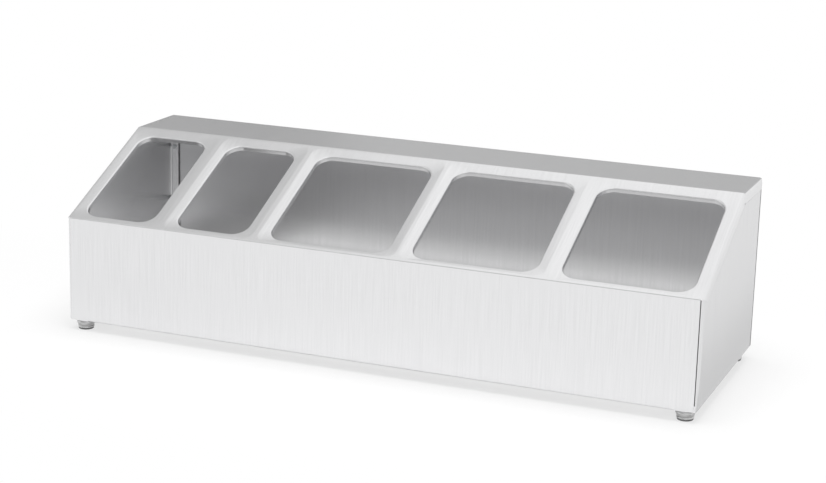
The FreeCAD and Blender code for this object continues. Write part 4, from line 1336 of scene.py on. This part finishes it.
# %% The room
SKY = 0.4  # the world's strength as light
world = bpy.data.worlds.new("studio")
bpy.context.scene.world = world
world.use_nodes = True
room = world.node_tree
room.nodes.clear()
soft = add_node(room, "ShaderNodeBackground", {"Color": (1, 1, 1, 1), "Strength": SKY}).outputs[0]
white = add_node(room, "ShaderNodeBackground", {"Color": (1, 1, 1, 1), "Strength": 1.0}).outputs[0]
both = add_node(room, "ShaderNodeMixShader", {0: share_of_eye_and_mirrors(room), 1: soft, 2: white})
add_node(room, "ShaderNodeOutputWorld", {"Surface": both.outputs[0]})
print("world", SKY, "as light, white to the eye")

# %% [markdown]
# Two large square lamps. The one above gives the soft shadow under the holder, and mirroring faces don't see
# it, or it would burn a white square into the slope. The weak one behind is the other way round: it only
# lifts what the steel mirrors from above.


# %% Lamps
def lamp(name, place, target, size, power):
    """A square soft light at a place, turned towards a target."""
    data = bpy.data.lights.new(name, "AREA")
    data.shape = "SQUARE"
    data.size = size
    data.energy = power
    light = bpy.data.objects.new(name, data)
    bpy.context.scene.collection.objects.link(light)
    light.location = place
    light.rotation_euler = (Vector(target) - Vector(place)).to_track_quat("-Z", "Y").to_euler()
    return light


top_light = lamp("top_light", place=(0.1, -0.15, 2.4), target=(0.1, -0.15, 0), size=1.6, power=50)
top_light.visible_glossy = False
soft_box = lamp("soft_box", place=(-0.2, 1.2, 2.5), target=(-0.2, 1.2, 0), size=1.4, power=0.3)
soft_box.visible_diffuse = False
print("lamps", top_light.data.energy, "and", round(soft_box.data.energy, 1), "watts")

# %% [markdown]
# Cards. A photographer sets grey and white boards round polished metal, because its tone is what it mirrors.
# These do the same: only mirroring faces see them, and each is placed for one face of the holder. Changing the
# steel's own colour instead would darken every face alike, so the folds would no longer stand out.


# %% Cards that the steel mirrors
def card(name, width, height, place, turn, code):
    """A plain card of one tone that only mirroring surfaces see."""
    deselect()
    bpy.ops.mesh.primitive_plane_add(size=1, location=place, rotation=turn)
    board = bpy.context.active_object
    board.name = board.data.name = name
    board.scale = (width, height, 1)
    paint = bpy.data.materials.new(name)
    paint.use_nodes = True
    tree = paint.node_tree
    tree.nodes.clear()
    glow = add_node(tree, "ShaderNodeEmission", {"Color": linear(code), "Strength": 1})
    add_node(tree, "ShaderNodeOutputMaterial", {"Surface": glow.outputs[0]})
    wear(board, paint)
    board.visible_camera = False
    board.visible_diffuse = False
    board.visible_shadow = False
    return board


UPRIGHT = (math.pi / 2, 0, 0)
LEVEL = (0, 0, 0)
inner_length, inner_depth = RIGHT - LEFT - 8 * MM, REAR - FRONT - 12 * MM
# Name, width and height, middle, turn, tone, and whether it also holds back the light of a lamp.
boards = [
    # Behind the holder: the level ledge mirrors it and turns grey.
    ("grey_card_behind", (5.4, 1.15), (-1.8, 2.3, 0.575), UPRIGHT, "#BCBCBC", False),
    # Above on the left: it shades the slope's left end.
    ("grey_card_above_left", (3.25, 6), (-2.825, 1, 2.5), LEVEL, "#CDCDCD", False),
    # Just in front of the first card: it darkens the ledge's left end further.
    ("grey_card_behind_left", (3.2, 1.15), (-2.7, 2.29, 0.575), UPRIGHT, "#A6A6A6", False),
    # In front of the holder: the fold mirrors it as a thin dark line along its bend.
    ("dark_card_in_front", (3.8, 1.8), (-1.4, -3.6, 0.9), UPRIGHT, "#888888", False),
    # On the floor at the right: two tones for the lower part of the right side sheet.
    ("pale_card_right", (2.4, 3.2), (1.575, 0.9, 2 * MM), LEVEL, "#F6F6F6", False),
    ("grey_strip_right", (0.075, 1.2), (0.4125, 0.45, 3 * MM), LEVEL, "#DCDCDC", False),
    # Inside the case: what the back sheet's inner face mirrors. It keeps the lamp off the floor below.
    ("pale_card_inside", (inner_length, inner_depth), (0, 0, 27 * MM), LEVEL, "#CECECE", True),
    # Below the narrow openings, which look darker inside than the wide ones.
    ("dark_card_inside", (84 * MM, 150 * MM), (-324 * MM, -44 * MM, 29 * MM), LEVEL, "#8C8C8C", True),
    # A narrow strip for the line of light along the upper collars.
    ("white_card_inside", (648 * MM, 22 * MM), (42 * MM, -30 * MM, 28 * MM), LEVEL, "#FFFFFF", False),
]
for name, (width, height), place, turn, code, shades in boards:
    card(name, width, height, place, turn, code).visible_shadow = shades
print("cards", len(boards))

# %% [markdown]
# The camera stands to the right of the middle, in front and above, as in the photograph. A long lens keeps the
# long edges of the case nearly parallel. Its turns are given as angles, because they were measured as angles.

# %% Camera
CAMERA_PLACE = (0.797, -2.008, 0.687)
CAMERA_AZIMUTH = math.radians(21.54)
CAMERA_TILT = math.radians(14.71)
CAMERA_ROLL = math.radians(1.48)
SENSOR_WIDTH = 36
LENS = 86.16
NEAREST = 0.05
camera_data = bpy.data.cameras.new("camera")
camera = bpy.data.objects.new("camera", camera_data)
bpy.context.scene.collection.objects.link(camera)
camera_data.sensor_width = SENSOR_WIDTH
camera_data.sensor_fit = "HORIZONTAL"
camera_data.lens = LENS
camera_data.clip_start = NEAREST
camera.location = CAMERA_PLACE
forward = Vector(
    (
        -math.sin(CAMERA_AZIMUTH) * math.cos(CAMERA_TILT),
        math.cos(CAMERA_AZIMUTH) * math.cos(CAMERA_TILT),
        -math.sin(CAMERA_TILT),
    )
)
level = forward.to_track_quat("-Z", "Y")
camera.rotation_euler = (level @ Euler((0, 0, CAMERA_ROLL)).to_quaternion()).to_euler()
bpy.context.scene.camera = camera
bpy.context.scene.view_settings.view_transform = "Standard"
print("camera", LENS, "mm lens, turned by", [round(math.degrees(turn), 2) for turn in camera.rotation_euler])
